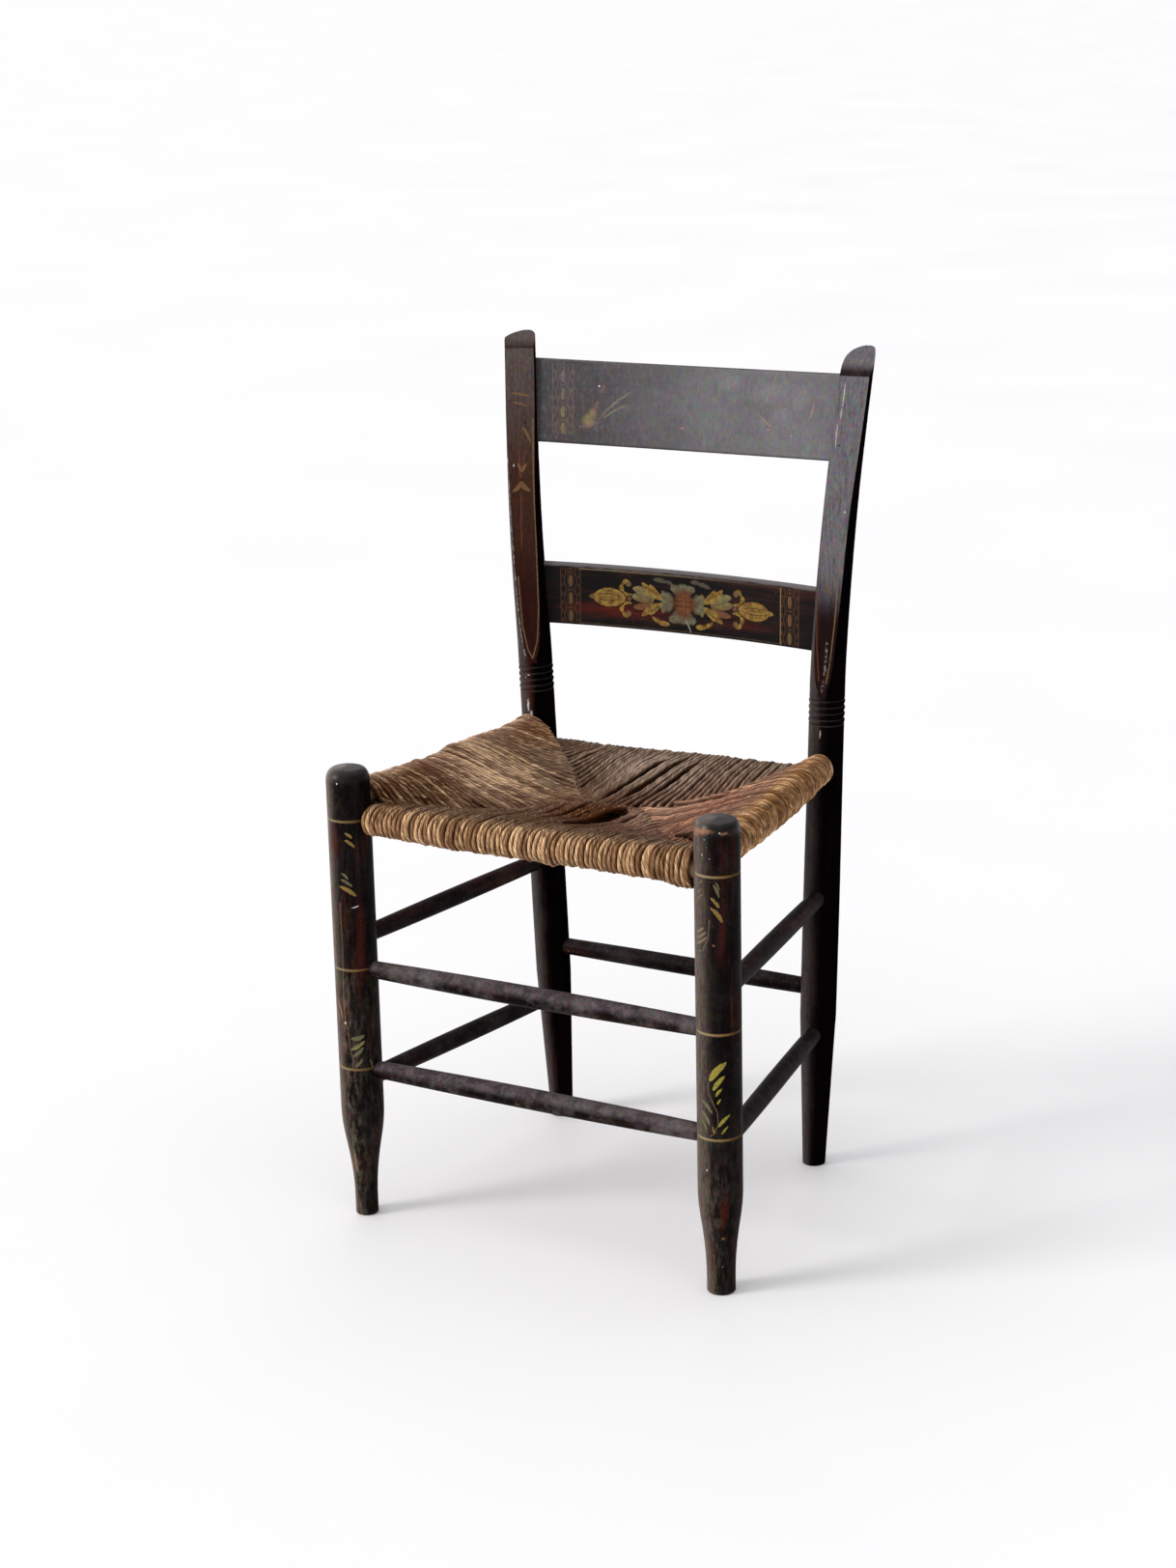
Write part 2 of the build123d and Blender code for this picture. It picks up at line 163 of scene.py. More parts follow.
# FRONT LEGS
# Two turned hardwood legs, grained in red-brown under black paint. Gold rings and brushed
# gold leaves are on the side that faces the room, and the cap and foot are worn.
def effect(name, inputs, outputs):
    """A new shader group, opened as the tree. Its sockets are listed by kind."""
    global tree
    tree = bpy.data.node_groups.new(name, "ShaderNodeTree")
    for way, kinds in (("INPUT", inputs), ("OUTPUT", outputs)):
        for kind, labels in kinds.items():
            for label in labels.split(", "):
                tree.interface.new_socket(label, in_out=way, socket_type="NodeSocket" + kind)
    given, result = tree.nodes.new("NodeGroupInput"), tree.nodes.new("NodeGroupOutput")
    return tree, given.outputs, result.inputs


def use(group, **inputs):
    """Places a shader group. Its inputs are given with underscores."""
    made = add("Group", node_tree=group)
    feed(made.inputs, **inputs)
    return made.outputs


def plus(*values):
    return reduce(partial(calc, "ADD"), values)


def most(*values):
    return reduce(partial(calc, "MAXIMUM"), values)


def less(first, second):
    return calc("SUBTRACT", first, second)


def apart(first, second):
    return calc("ABSOLUTE", less(first, second))


def relief(height, depth, distance):
    """A bump from a height between 0 and 1."""
    feeds = {"Height": height, "Strength": depth, "Distance": distance}
    return add("Bump", feeds).outputs["Normal"]


def scaled(point, factors):
    return vector_calc("MULTIPLY", point, factors)


def moved(point, way):
    return vector_calc("ADD", point, way)


def lengthened(way, amount):
    return add("VectorMath", {0: way, "Scale": amount}, operation="SCALE").outputs["Vector"]


def turned(point, angle):
    feeds = {"Vector": point, "Angle": angle}
    return add("VectorRotate", feeds, rotation_type="Z_AXIS").outputs["Vector"]


def split(point):
    return add("SeparateXYZ", {"Vector": point}).outputs


def joined(x, y=0, z=0):
    return add("CombineXYZ", {"X": x, "Y": y, "Z": z}).outputs["Vector"]


near_black = (0.0032, 0.0019, 0.0021)
old_paint, given, result = effect(
    "old_paint", {"Vector": "Point, Stretch", "Color": "Flame",
                  "Float": "Seed, Flame Amount, Chip Amount, Dust"},
    {"Color": "Color", "Float": "Roughness, Height"})
drawn = scaled(given["Point"], given["Stretch"])
shift = lengthened((17.3, 31.1, 7.7), given["Seed"])
drawn = moved(drawn, shift)
placed = moved(given["Point"], shift)
streak = noise(drawn, 1, 5, 0.62, 0.3)
broad = noise(drawn, 0.35, 3, 0.5, 0.6)
patches = noise(placed, 14, 3)
grain = noise(placed, 900, 2)
flame = plus(streak, times(broad, 0.8), times(patches, 0.7), given["Flame Amount"])
painted = coat(near_black, given["Flame"], ramp(flame, 1.55, 2.05))
bloom_and_painted_sheen = times(ramp(noise(placed, 33, 4, 0.65), 0.42, 0.75), given["Dust"])
painted = coat(painted, (0.13, 0.11, 0.108), bloom_and_painted_sheen)
fine_chips = noise(placed, 420, 3, 0.7)
chip_field = times(noise(placed, 26, 2), given["Chip Amount"])
chips = ramp(plus(fine_chips, times(chip_field, 0.35)), 0.755, 0.8)
painted = coat(painted, (0.22, 0.13, 0.075), chips)
put(result["Color"], painted)
put(result["Roughness"], plus(0.36, times(streak, 0.18), times(chips, 0.3), times(bloom_and_painted_sheen, 0.8)))
height = plus(times(streak, 0.5), times(grain, 0.15))
put(result["Height"], less(height, times(chips, 0.4)))

arch_power = 0.55
brush_stroke, given, result = effect(
    "brush_stroke", {"Vector": "Point, Start, Span, Share, Bow", "Float": "Swell, Thin, Sharpness"},
    {"Float": "Mask"})
offset = vector_calc("SUBTRACT", given["Point"], given["Start"])
along = calc("ADD", measured("DOT_PRODUCT", offset, given["Share"]), 0, clamp=True)
arch = times(along, less(1, along))
nearest = moved(lengthened(given["Span"], along), lengthened(given["Bow"], arch))
half = calc("MULTIPLY_ADD", calc("POWER", arch, arch_power), given["Swell"], given["Thin"])
inside = less(half, measured("DISTANCE", offset, nearest))
put(result["Mask"], calc("MULTIPLY_ADD", inside, given["Sharpness"], 0.4, clamp=True))

paint_spot, given, result = effect(
    "paint_spot", {"Vector": "Point, Centre, Reach", "Float": "Turn, Sharpness"}, {"Float": "Mask"})
local = turned(vector_calc("SUBTRACT", given["Point"], given["Centre"]), given["Turn"])
inside = less(1, measured("LENGTH", vector_calc("DIVIDE", local, given["Reach"])))
put(result["Mask"], calc("MULTIPLY_ADD", inside, given["Sharpness"], 0.5, clamp=True))

rubbed, given, result = effect("rubbed", {"Vector": "Point", "Float": "Wear, Grain"},
                               {"Float": "Cover"})
worn = noise(given["Point"], given["Grain"], 4, 0.7)
put(result["Cover"], ramp(worn, less(given["Wear"], 0.12), plus(given["Wear"], 0.12)))


def strokes_mask(point, strokes, edge=0.6, taper=1):
    """Brush strokes of (start x and y, end x and y, width, bow), laid together as one mask.
    The bow may be left out. A full taper brings a stroke's ends to points."""
    total = 0
    for start_x, start_y, end_x, end_y, width, *bow in strokes:
        over, up, bow = end_x - start_x, end_y - start_y, sum(bow)
        length = hypot(over, up)
        stroke = use(brush_stroke, Point=point, Start=(start_x, start_y, 0), Span=(over, up, 0),
                     Share=(over / length ** 2, up / length ** 2, 0),
                     Bow=(-up / length * bow * 4, over / length * bow * 4, 0),
                     Swell=width / 2 * taper * 4 ** arch_power, Thin=width / 2 * (1 - taper),
                     Sharpness=1 / edge)
        total = most(stroke["Mask"], total)
    return total


def lines_mask(point, lines, width, edge=0.6):
    """Drawn lines of even width, each through a row of corners, as one mask."""
    runs = [(*start, *end, width) for line in lines for start, end in zip(line, line[1:])]
    return strokes_mask(point, runs, edge, 0)


def spots_mask(point, spots, edge=0.5):
    """Blots of (x, y, reach across, reach up, turn in degrees), as one mask. The turn may be
    left out."""
    total = 0
    for x, y, across, up, *turn in spots:
        spot = use(paint_spot, Point=point, Centre=(x, y, 0), Reach=(across, up, 1),
                   Turn=radians(sum(turn)), Sharpness=1 / edge)
        total = most(spot["Mask"], total)
    return total


def wavered(point, amount, scale=0.45, detail=3, roughness=0.5):
    """A point in millimetres moved a little, as an unsteady hand or a worn edge moves it."""
    waver = noise(point, scale, detail, roughness, output="Color")
    waver = vector_calc("SUBTRACT", waver, (0.5, 0.5, 0.5))
    return moved(point, scaled(waver, (amount, amount, 0)))


def unrolled(point, centre_x, centre_y, radius):
    """The round face of a leg laid flat: X round it from its front, Y up, in millimetres."""
    parts = split(point)
    across = less(parts["X"], centre_x)
    forward = less(centre_y, parts["Y"])
    turn = calc("ARCTAN2", across, forward)
    return joined(times(turn, radius * 1000), times(parts["Z"], 1000))


front_leg_x, front_leg_y, front_leg_radius = 0.1996, -0.1678, 0.0214
ring_heights = (417, 265, 161)
red_brown = (0.04, 0.0095, 0.0055)
dull_gold = (0.215, 0.145, 0.042)
bright_gold = (0.3, 0.25, 0.045)
pale_pink = (0.19, 0.135, 0.1)
leaf_green = (0.125, 0.12, 0.062)
bare_tan = (0.3, 0.145, 0.075)
rubbed_red = (0.058, 0.0095, 0.0075)
chalk = (0.55, 0.53, 0.52)
# The legs' gilding, in millimetres round the leg from its front and up from the floor. The
# scars are chips and rubbed places, and the painted sheen greys one side, toward the window, from
# an edge on as a painted highlight.
leg_strokes = {
    "right": {
        "gold": [(3.3, 397.7, 11.6, 387.9, 3.3, 0.8), (3.4, 388.2, 14.4, 373.9, 4, 1.2),
                 (5.2, 167.5, 3.4, 175, 2, 0.3)],
        "bright": [(0.7, 219.4, 16.6, 238.3, 6.6, 1.6), (4.2, 210.6, 15, 225.1, 4.4, 1),
                   (6.6, 204.6, 12.4, 212.9, 2.8, 0.6), (8, 197.4, 11.4, 202.6, 1.8, 0.2),
                   (8.7, 174.5, 19.8, 186.1, 3.4, 0.8), (11.5, 167.2, 18.1, 174.9, 1.9, 0.4)],
        "green": [(-8.1, 199.2, 2.9, 187.6, 3.9, 1.2), (-9, 189, 0.2, 175.7, 3.9, 1.2),
                  (-8.4, 179.8, -2.7, 168.8, 2.4, 0.8), (-11.8, 392.7, -4.4, 400, 2.4, 0.6),
                  (-12.6, 398, -5, 404.9, 2.2, 0.6), (6, 410.5, 11.4, 397.8, 2.7, 0.8),
                  (8.1, 412.9, 11.8, 404.8, 1.6, 0.4), (-9.6, 408.6, -4.4, 412.6, 1.8, 0.4)],
        "pink": [(-3.6, 368.2, -13.5, 361.6, 2.4, 0.5), (-0.9, 364.7, -13.6, 356, 2.6, 0.6),
                 (-0.4, 359.7, -13.7, 350.4, 2.6, 0.6)],
    },
    "left": {
        "gold": [(7.1, 405.8, 14.4, 400.4, 3, 0.6), (6.7, 398.9, 16.6, 390.7, 3.4, 0.8),
                 (-0.7, 351.4, 16, 341.7, 4.4, 1.2)],
        "bright": [(3.6, 181.5, 17.7, 191.2, 1.6, -0.9)],
        "green": [(4.2, 193.7, 18, 197.2, 4.8, -1.2), (3.6, 182.5, 17.7, 191.2, 4.4, -1),
                  (5.5, 175.1, 16.4, 184.8, 3.8, -0.9), (7.2, 164.1, 14.8, 172.8, 3.2, -0.7),
                  (1.8, 365.1, 8.6, 359.1, 2.8, 0.6), (0.9, 358.6, 12.3, 351.6, 3, 0.8),
                  (22.3, 171.6, 25.4, 159.8, 1.8, 0.3)],
        "pink": [(-12.4, 235.1, -4.8, 213.1, 2.8, 0.9), (-15, 226, -9, 208, 2, 0.6)],
    },
}
leg_stems = {
    "right": [[(-0.4, 218.2), (-1.1, 209.8), (3, 200.1), (7.9, 189.1), (8.7, 177.6), (5.2, 168.1),
               (0.6, 164.8)],
              [(2.4, 376.1), (0.7, 357.9), (-5.2, 345.7), (-12.9, 343.6)]],
    "left": [[(1.5, 200), (3, 182), (5.5, 170), (4.5, 163.5)],
             [(-1.4, 334), (-0.6, 290), (-2.2, 240), (-1.7, 208.3)]],
}
leg_scars = {
    "right": {
        "tan": [(-7.5, 459, 12, 2.5, -4), (-14, 456.5, 5, 3), (16.5, 458, 3.2, 1.4),
                (13, 60, 1.6, 1), (6, 352, 1.1, 1)],
        "red": [(14, 362, 2.6, 20, 3), (13.5, 88, 3, 11), (-3, 40, 2.2, 16)],
        "white": [(-4.8, 437, 0.5, 0.8), (3, 434.5, 0.45, 0.5), (12.4, 458.5, 0.7, 0.8),
                  (-2, 452, 0.4, 0.4), (12, 30, 0.7, 0.5), (-3, 130, 0.5, 1.2)],
    },
    "left": {
        "tan": [(-2, 60, 1.6, 12)],
        "red": [(18.8, 300, 3.4, 33), (-8, 225, 4, 18), (-5, 395, 4, 12)],
        "white": [(14.4, 330.5, 3.6, 0.5, -17), (-1.6, 209.5, 0.9, 1.2), (1.5, 455, 0.7, 0.9)],
    },
}
leg_painted_sheen = {"left": 0.95, "right": 0.62}
leg_painted_sheen_from = {"left": 1, "right": 6}
# How strong the soil is, and the heights between which it thins out.
leg_soil = {"left": (0.85, 285, 240), "right": (0.6, 200, 105)}
leg_rings = {"left": 0.72, "right": 0.95}


def mottled(point, colour, amount):
    """A colour made uneven in tone and hue, as old varnish is. The point is in millimetres."""
    stain = noise(point, 0.33, 4, 0.7, output="Color")
    return scaled(colour, vector_calc("MULTIPLY_ADD", stain, (amount,) * 3, (1 - amount / 2,) * 3))


def dusted_with_top_light(place, colour, amount, tint=(0.125, 0.112, 0.112)):
    """Dust and scuffs, with painted light from above, that grey whatever faces up."""
    up = split(place["Normal"])["Z"]
    cloudy = ramp(noise(place["Object"], 70, 4, 0.65), 0.3, 0.62, 0.45, 1)
    dust_and_top_light = times(ramp(up, 0.35, 0.85), cloudy, amount)
    return coat(colour, tint, dust_and_top_light)


paint_relief = 0.0004


def paint_leg(side, sign):
    """A front leg's whole finish, from the black paint up to the last chips."""
    material, shader, place = new_material("front_leg_paint_" + side)
    spot = place["Object"]
    face = unrolled(spot, sign * front_leg_x, front_leg_y, front_leg_radius)
    hand = wavered(face, 1.6)
    paint = use(old_paint, Point=spot, Stretch=(210, 210, 16), Seed=2 + sign, Flame=red_brown,
                Flame_Amount=0.3, Chip_Amount=0.36, Dust=0.07)
    cover = use(rubbed, Point=face, Wear=0.42, Grain=0.42)["Cover"]
    scars = leg_scars[side]
    parts = split(face)
    # Painted highlight: a streaky grey sheen on the side of the leg toward the window.
    streaky = ramp(noise(scaled(face, (0.5, 0.035, 1)), 1, 5, 0.7), 0.34, 0.62, 0.45, 1)
    painted_sheen = times(ramp(parts["X"], leg_painted_sheen_from[side], leg_painted_sheen_from[side] - 19),
                 ramp(parts["X"], -60, -34), streaky)
    colour = coat(paint["Color"], (0.175, 0.136, 0.112), painted_sheen, leg_painted_sheen[side])
    soil, soil_high, soil_low = leg_soil[side]
    patchy = noise(scaled(spot, (190, 190, 55)), 1, 6, 0.74)
    soiled = times(ramp(patchy, 0.42, 0.64), ramp(parts["Y"], soil_high, soil_low, 0.15, 1),
                   ramp(parts["X"], 20, -6, 0.2, 1))
    colour = coat(colour, (0.105, 0.083, 0.06), soiled, soil)
    colour = mottled(scaled(spot, (1000, 1000, 600)), colour, 2.2)
    # Dust, with painted light from above, greys the cap and upper faces.
    colour = dusted_with_top_light(place, colour, 0.16)
    for kind, tint in (("red", rubbed_red), ("tan", bare_tan)):
        torn = wavered(face, 5)
        mask = times(spots_mask(torn, scars[kind], 1.6 if kind == "red" else 0.9), cover)
        colour = coat(colour, tint, mask, 0.8)
    for kind, tint in (("green", leaf_green), ("pink", pale_pink), ("gold", dull_gold),
                       ("bright", bright_gold)):
        strokes = strokes_mask(hand, leg_strokes[side][kind])
        colour = coat(colour, tint, strokes, ramp(cover, 0, 0.8, 0.2, 0.9))
    colour = coat(colour, pale_pink, lines_mask(hand, leg_stems[side], 1), 0.55)
    around = ramp(parts["X"], -20, 24)
    ring_tint = coat((0.275, 0.23, 0.13), (0.205, 0.11, 0.036), around)
    ring = 0
    for height in ring_heights:
        away = apart(split(wavered(face, 0.5))["Y"], height)
        ring = most(ring, ramp(away, 1.75, 0.75))
    ring = times(ring, ramp(cover, 0, 0.5, 0.5 * leg_rings[side], leg_rings[side]))
    sideways = apart(parts["X"], 2)
    ring = times(ring, ramp(sideways, 26, 10, 0.4, 1))
    colour = coat(colour, ring_tint, ring)
    colour = coat(colour, chalk, spots_mask(hand, scars["white"], 0.5))
    raised = plus(paint["Height"], times(ring, 0.2))
    cap = ramp(parts["Y"], 452, 460)
    rough = less(paint["Roughness"], times(cap, 0.12))
    rim = times(ramp(parts["X"], -12, -24), ramp(parts["X"], -60, -40))
    sheen = plus(calc("MULTIPLY_ADD", cap, 0.14, 0.02), times(rim, 0.22))
    feed(shader.inputs, Base_Color=colour, Roughness=rough, Specular_IOR_Level=sheen,
         Normal=relief(raised, 0.5, paint_relief))
    return material


def repaint(node, material):
    """Gives a node of the frame one finish all over."""
    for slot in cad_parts[node].material_slots:
        slot.material = material


repaint("front_leg_left", paint_leg("left", -1))
repaint("front_leg_right", paint_leg("right", 1))


# BACK POSTS
# Bent above the seat and shaved flat in front, in the same black over red-brown graining.
# A fine gold line follows each flat, and the left one still has its stencilled motif.
# What is drawn on the posts' fronts, in millimetres of X and height. The chips and the ragged
# edge show bare wood.
post_lines = {
    "left": {
        "gold": [[(-168.5, 756.6), (-165, 711.5), (-159.5, 638.4), (-156, 564), (-156.8, 530),
                  (-160.8, 511.6), (-166, 520), (-172, 546), (-176.5, 596)]],
        "stem": [[(-175.2, 680), (-173.6, 626.6)], [(-179.5, 725), (-177.4, 698)],
                 [(-173.5, 725), (-176, 698)]],
    },
    "right": {
        "gold": [[(185.8, 650), (183, 624), (180, 580), (175.9, 540), (172.5, 520)]],
        "stem": [[(161, 611), (162.4, 552), (165, 522)]],
    },
}
post_strokes = {
    "left": [(-178, 749, -168.6, 732, 2.6, 0.6), (-184, 683, -175.7, 694, 4.5, -1.5),
             (-166.5, 684, -175.7, 694, 4.5, 1.5), (-191, 782, -173, 779, 2.6, 0.5),
             (-190, 773, -174, 769, 2, 0.5), (-180.5, 712, -176.5, 703, 3, 0.5),
             (-171.5, 712, -175.5, 703, 3, -0.5)],
    "right": [(170.5, 622, 173, 610, 2.2, 0.4)],
}
post_chips = {
    "left": [(-192, 714, 1.4, 3), (-184, 709.5, 0.7, 1.3), (-167, 461, 1.3, 6),
             (-163.5, 451, 1.4, 4), (-169, 490.3, 1.3, 0.5), (-165.4, 493.3, 1.3, 0.5)],
    "right": [(178.5, 801, 0.5, 11, 3), (173.6, 762, 0.45, 12, 2), (176.8, 783, 0.4, 5, 4),
              (167, 468, 0.4, 4, 4), (187, 690, 1, 0.8)],
}
post_edges = {
    "left": [(-189.5, 705), (-186.8, 670), (-184, 640), (-181, 608), (-177.5, 570), (-173.5, 535),
             (-168.5, 511)],
    "right": [(168.5, 512), (171, 535), (172.6, 560)],
}
post_turn = {"left": radians(19), "right": radians(5)}
post_painted_window_light = {"left": 0.36, "right": 0.35}
# The heights between which the painted sheen begins, its strength and its tint. The sheen is a
# painted reflection of the window.
post_painted_sheen = {"left": (680, 830, 0.85, (0.09, 0.073, 0.071)),
             "right": (580, 640, 0.92, (0.14, 0.131, 0.144))}
post_warmth = {"left": 0.85, "right": 0.3}


def feed_paint(shader, paint, colour, sheen, depth=0.5):
    """Fills a shader with a finished colour and the old paint's gloss and relief."""
    feed(shader.inputs, Base_Color=colour, Roughness=paint["Roughness"], Specular_IOR_Level=sheen,
         Normal=relief(paint["Height"], depth, paint_relief))


def paint_post(side, sign):
    """A back post's whole finish, from the black paint up to its ragged edge."""
    material, shader, place = new_material("back_post_paint_" + side)
    spot = place["Object"]
    face = scaled(spot, (1000, 1000, 1000))
    parts = split(face)
    front = joined(parts["X"], parts["Z"])
    hand = wavered(front, 1.2)
    facing = (np.sin(post_turn[side]), -np.cos(post_turn[side]), 0)
    lined_up = measured("DOT_PRODUCT", place["Normal"], facing)
    on_flat = times(ramp(lined_up, 0.94, 0.97), ramp(parts["Z"], 505, 508))
    paint = use(old_paint, Point=spot, Stretch=(230, 230, 14), Seed=5 + sign,
                Flame=(0.042, 0.013, 0.009) if side == "left" else (0.022, 0.01, 0.009),
                Flame_Amount=0.42, Chip_Amount=0.3, Dust=0.05)
    cover = use(rubbed, Point=front, Wear=0.4, Grain=0.35)["Cover"]
    sheen_low, sheen_high, sheen_amount, sheen_tint = post_painted_sheen[side]
    on_end = times(ramp(parts["Z"], 822, 832), ramp(lined_up, -0.2, 0.3))
    on_front = most(on_flat, on_end)
    # Painted reflection: a grey sheen on the flat and the top, from a given height up.
    painted_sheen = times(on_front, ramp(parts["Z"], sheen_low, sheen_high))
    streaky = ramp(noise(scaled(face, (0.55, 0.2, 0.045)), 1, 5, 0.7), 0.28, 0.6, 0.45, 1)
    warm = coat((0.026, 0.005, 0.004), (0.052, 0.02, 0.012), ramp(parts["Z"], 560, 670))
    colour = coat(paint["Color"], warm, on_front, streaky, post_warmth[side])
    colour = coat(colour, sheen_tint, painted_sheen, streaky, sheen_amount)
    # Painted light: a grey sheen on the round sides that face the window.
    to_window = measured("DOT_PRODUCT", place["Normal"], (-0.8, -0.6, 0))
    bloom_and_painted_sheen = times(ramp(to_window, 0.45, 1), streaky, post_painted_window_light[side], less(1, on_flat))
    colour = coat(colour, (0.15, 0.122, 0.118), bloom_and_painted_sheen)
    # Painted shade: the sides turned away from the window are darkened nearly to black and lose
    # their gloss.
    far_side = measured("DOT_PRODUCT", place["Normal"], (0.95, -0.3, 0))
    painted_far_shade = times(ramp(far_side, 0.35, 0.7), less(1, on_flat))
    colour = coat(colour, (0.0012, 0.0006, 0.0009), painted_far_shade, 0.9)
    colour = mottled(scaled(face, (1, 1, 0.6)), colour, 1.9)
    # Dust, with painted light from above, greys the upper faces.
    colour = dusted_with_top_light(place, colour, 0.3, (0.105, 0.088, 0.086))
    lines, stems = (lines_mask(hand, post_lines[side][kind], 1.3) for kind in ("gold", "stem"))
    colour = coat(colour, (0.165, 0.105, 0.048), lines, on_flat, ramp(cover, 0, 1, 0.2, 0.85))
    colour = coat(colour, (0.14, 0.045, 0.022), stems, on_flat, 0.6)
    leaves = strokes_mask(hand, post_strokes[side], 0.8)
    colour = coat(colour, (0.16, 0.09, 0.035), leaves, on_flat, ramp(cover, 0, 1, 0.25, 0.8))
    to_room = ramp(lined_up, 0.1, 0.4)
    chipped = spots_mask(wavered(front, 2.5), post_chips[side], 0.6)
    colour = coat(colour, (0.42, 0.38, 0.35), chipped, to_room)
    ragged = lines_mask(wavered(front, 3), [post_edges[side]], 2.2, 0.9)
    ragged = times(ragged, ramp(noise(front, 0.22, 3, 0.6), 0.44, 0.58), to_room)
    colour = coat(colour, (0.21, 0.185, 0.175), ragged, 0.75)
    feed_paint(shader, paint, colour, times(less(1, painted_far_shade), 0.03))
    return material


repaint("back_post_left", paint_post("left", -1))
repaint("back_post_right", paint_post("right", 1))


# CREST RAIL
# The upper back board, bent and housed in the posts. Its stencilling is nearly rubbed away:
# a chain band and a leaf are left at one end, under a painted grey sheen, a reflection of the
# window that grows towards the right end.
def oval(across, up, reach_across, reach_up):
    """The distance from an oval's middle, which is 1 on its outline."""
    squares = [calc("POWER", calc("DIVIDE", calc("ABSOLUTE", way), reach), 2)
               for way, reach in ((across, reach_across), (up, reach_up))]
    return calc("SQRT", plus(*squares))


chain_band, given, result = effect(
    "chain_band", {"Vector": "Point", "Float": "Middle, Half Width, Link, Base"},
    {"Float": "Line, Link Fill"})
parts = split(given["Point"])
across = calc("DIVIDE", apart(parts["X"], given["Middle"]), given["Half Width"])
links = calc("DIVIDE", less(parts["Y"], given["Base"]), given["Link"])
up = less(calc("FRACT", links), 0.5)
link = oval(across, up, 0.24, 0.4)
bead = oval(across, less(0.5, calc("ABSOLUTE", up)), 0.12, 0.055)
half_up = less(calc("FRACT", times(links, 2)), 0.5)
side_bead = oval(less(across, 0.78), half_up, 0.09, 0.3)
swing = times(calc("COSINE", times(up, tau)), 0.09)
wave = apart(less(across, 0.54), swing)
border = apart(across, 0.95)
within = ramp(across, 1.04, 0.99)
fill = most(ramp(link, 1, 0.78), times(ramp(bead, 1.1, 0.7), 0.7))
lines = most(times(ramp(apart(link, 1.45), 0.2, 0.08), 0.7), ramp(wave, 0.075, 0.03),
             times(ramp(side_bead, 1.1, 0.7), 0.8), ramp(border, 0.07, 0.03))
put(result["Line"], times(lines, within))
put(result["Link Fill"], times(fill, within))


def board_front(place):
    """The front of a back board: X and height in millimetres, and a mask of that face."""
    face = scaled(place["Object"], (1000, 1000, 1000))
    parts = split(face)
    front = joined(parts["X"], parts["Z"])
    forward = times(split(place["Normal"])["Y"], -1)
    return front, ramp(forward, 0.75, 0.9), parts


crest_paint, shader, place = new_material("crest_paint")
front, on_face, parts = board_front(place)
hand = wavered(front, 1.6)
paint = use(old_paint, Point=place["Object"], Stretch=(14, 60, 190), Seed=9,
            Flame=(0.024, 0.011, 0.01), Flame_Amount=0.45, Chip_Amount=0.25, Dust=0.15)
cover = use(rubbed, Point=front, Wear=0.46, Grain=0.16)["Cover"]
scuff = noise(scaled(front, (0.55, 0.1, 1)), 1, 5, 0.75)
# Painted reflection: a grey sheen of the window on the bowed front, stronger towards the right,
# broken by scuffs.
bloom_and_painted_sheen = times(ramp(parts["X"], -150, 60, 0.25, 1),
              ramp(noise(front, 0.012, 3, 0.5), 0.3, 0.7, 0.72, 1), ramp(scuff, 0.3, 0.62, 0.72, 1))
speck = ramp(noise(front, 0.8, 2, 0.6), 0.66, 0.74)
colour = coat(paint["Color"], (0.135, 0.128, 0.14), bloom_and_painted_sheen, on_face, 0.85)
clouds = spots_mask(wavered(front, 12), [(91.5, 795, 22, 9, -6), (43.7, 802, 10, 6),
                                         (123, 792, 9, 12), (105.6, 774, 9, 6)], 1.2)
colour = coat(colour, (0.22, 0.205, 0.215), clouds, on_face, 0.22)
colour = coat(colour, (0.21, 0.2, 0.205), speck, 0.35)
darkened = spots_mask(wavered(front, 9), [(-110, 772, 17, 11), (-139, 760, 13, 26)], 1.2)
colour = coat(colour, (0.04, 0.022, 0.021), darkened, on_face, 0.55)
patina = noise(scaled(front, (0.3, 0.11, 1)), 1, 5, 0.7)
patina_reach = times(on_face, ramp(parts["X"], 40, -110, 0.15, 1))
colour = coat(colour, (0.13, 0.117, 0.143), ramp(patina, 0.5, 0.68), patina_reach, 0.4)
colour = coat(colour, (0.026, 0.016, 0.017), ramp(patina, 0.46, 0.32), patina_reach, 0.6)
colour = mottled(scaled(front, (0.6, 0.4, 1)), colour, 1.5)
# Dust, with painted light from above, greys the upper faces.
colour = dusted_with_top_light(place, colour, 0.9)
upright = moved(hand, joined(times(less(parts["Z"], 778), 0.065)))
chain = use(chain_band, Point=upright, Middle=-140.5, Half_Width=11.8, Link=17.5, Base=738)
band_cover = times(ramp(parts["Z"], 740, 744), ramp(parts["Z"], 816, 806), on_face,
                   ramp(cover, 0, 1, 0.35, 1))
band_tint = coat((0.175, 0.135, 0.05), (0.135, 0.1, 0.092), ramp(parts["Z"], 752, 795))
colour = coat(colour, band_tint, chain["Link Fill"], band_cover, 0.75)
line_tint = coat((0.155, 0.09, 0.048), (0.125, 0.085, 0.085), ramp(parts["Z"], 752, 795))
colour = coat(colour, line_tint, chain["Line"], band_cover, 0.6)
ragged_hand = wavered(front, 3.6)
leaf_cover = times(on_face, ramp(cover, 0, 1, 0.5, 1))
blotch = spots_mask(ragged_hand, [(-110.8, 756.5, 6, 6.2, -30), (-106.5, 763, 3.4, 5, -25)], 0.9)
colour = coat(colour, (0.215, 0.16, 0.048), blotch, leaf_cover, 0.75)
faded_red = strokes_mask(ragged_hand, [
    (-107.5, 762, -102, 776.5, 5.5, -0.6), (-100, 784, -95.5, 792, 4, 0.4),
    (-122, 749.5, -97, 756.5, 3.2, -1), (-100, 757, -90, 768, 2.4, 0.6)], 1.2)
colour = coat(colour, (0.165, 0.082, 0.068), faded_red, leaf_cover, 0.6)
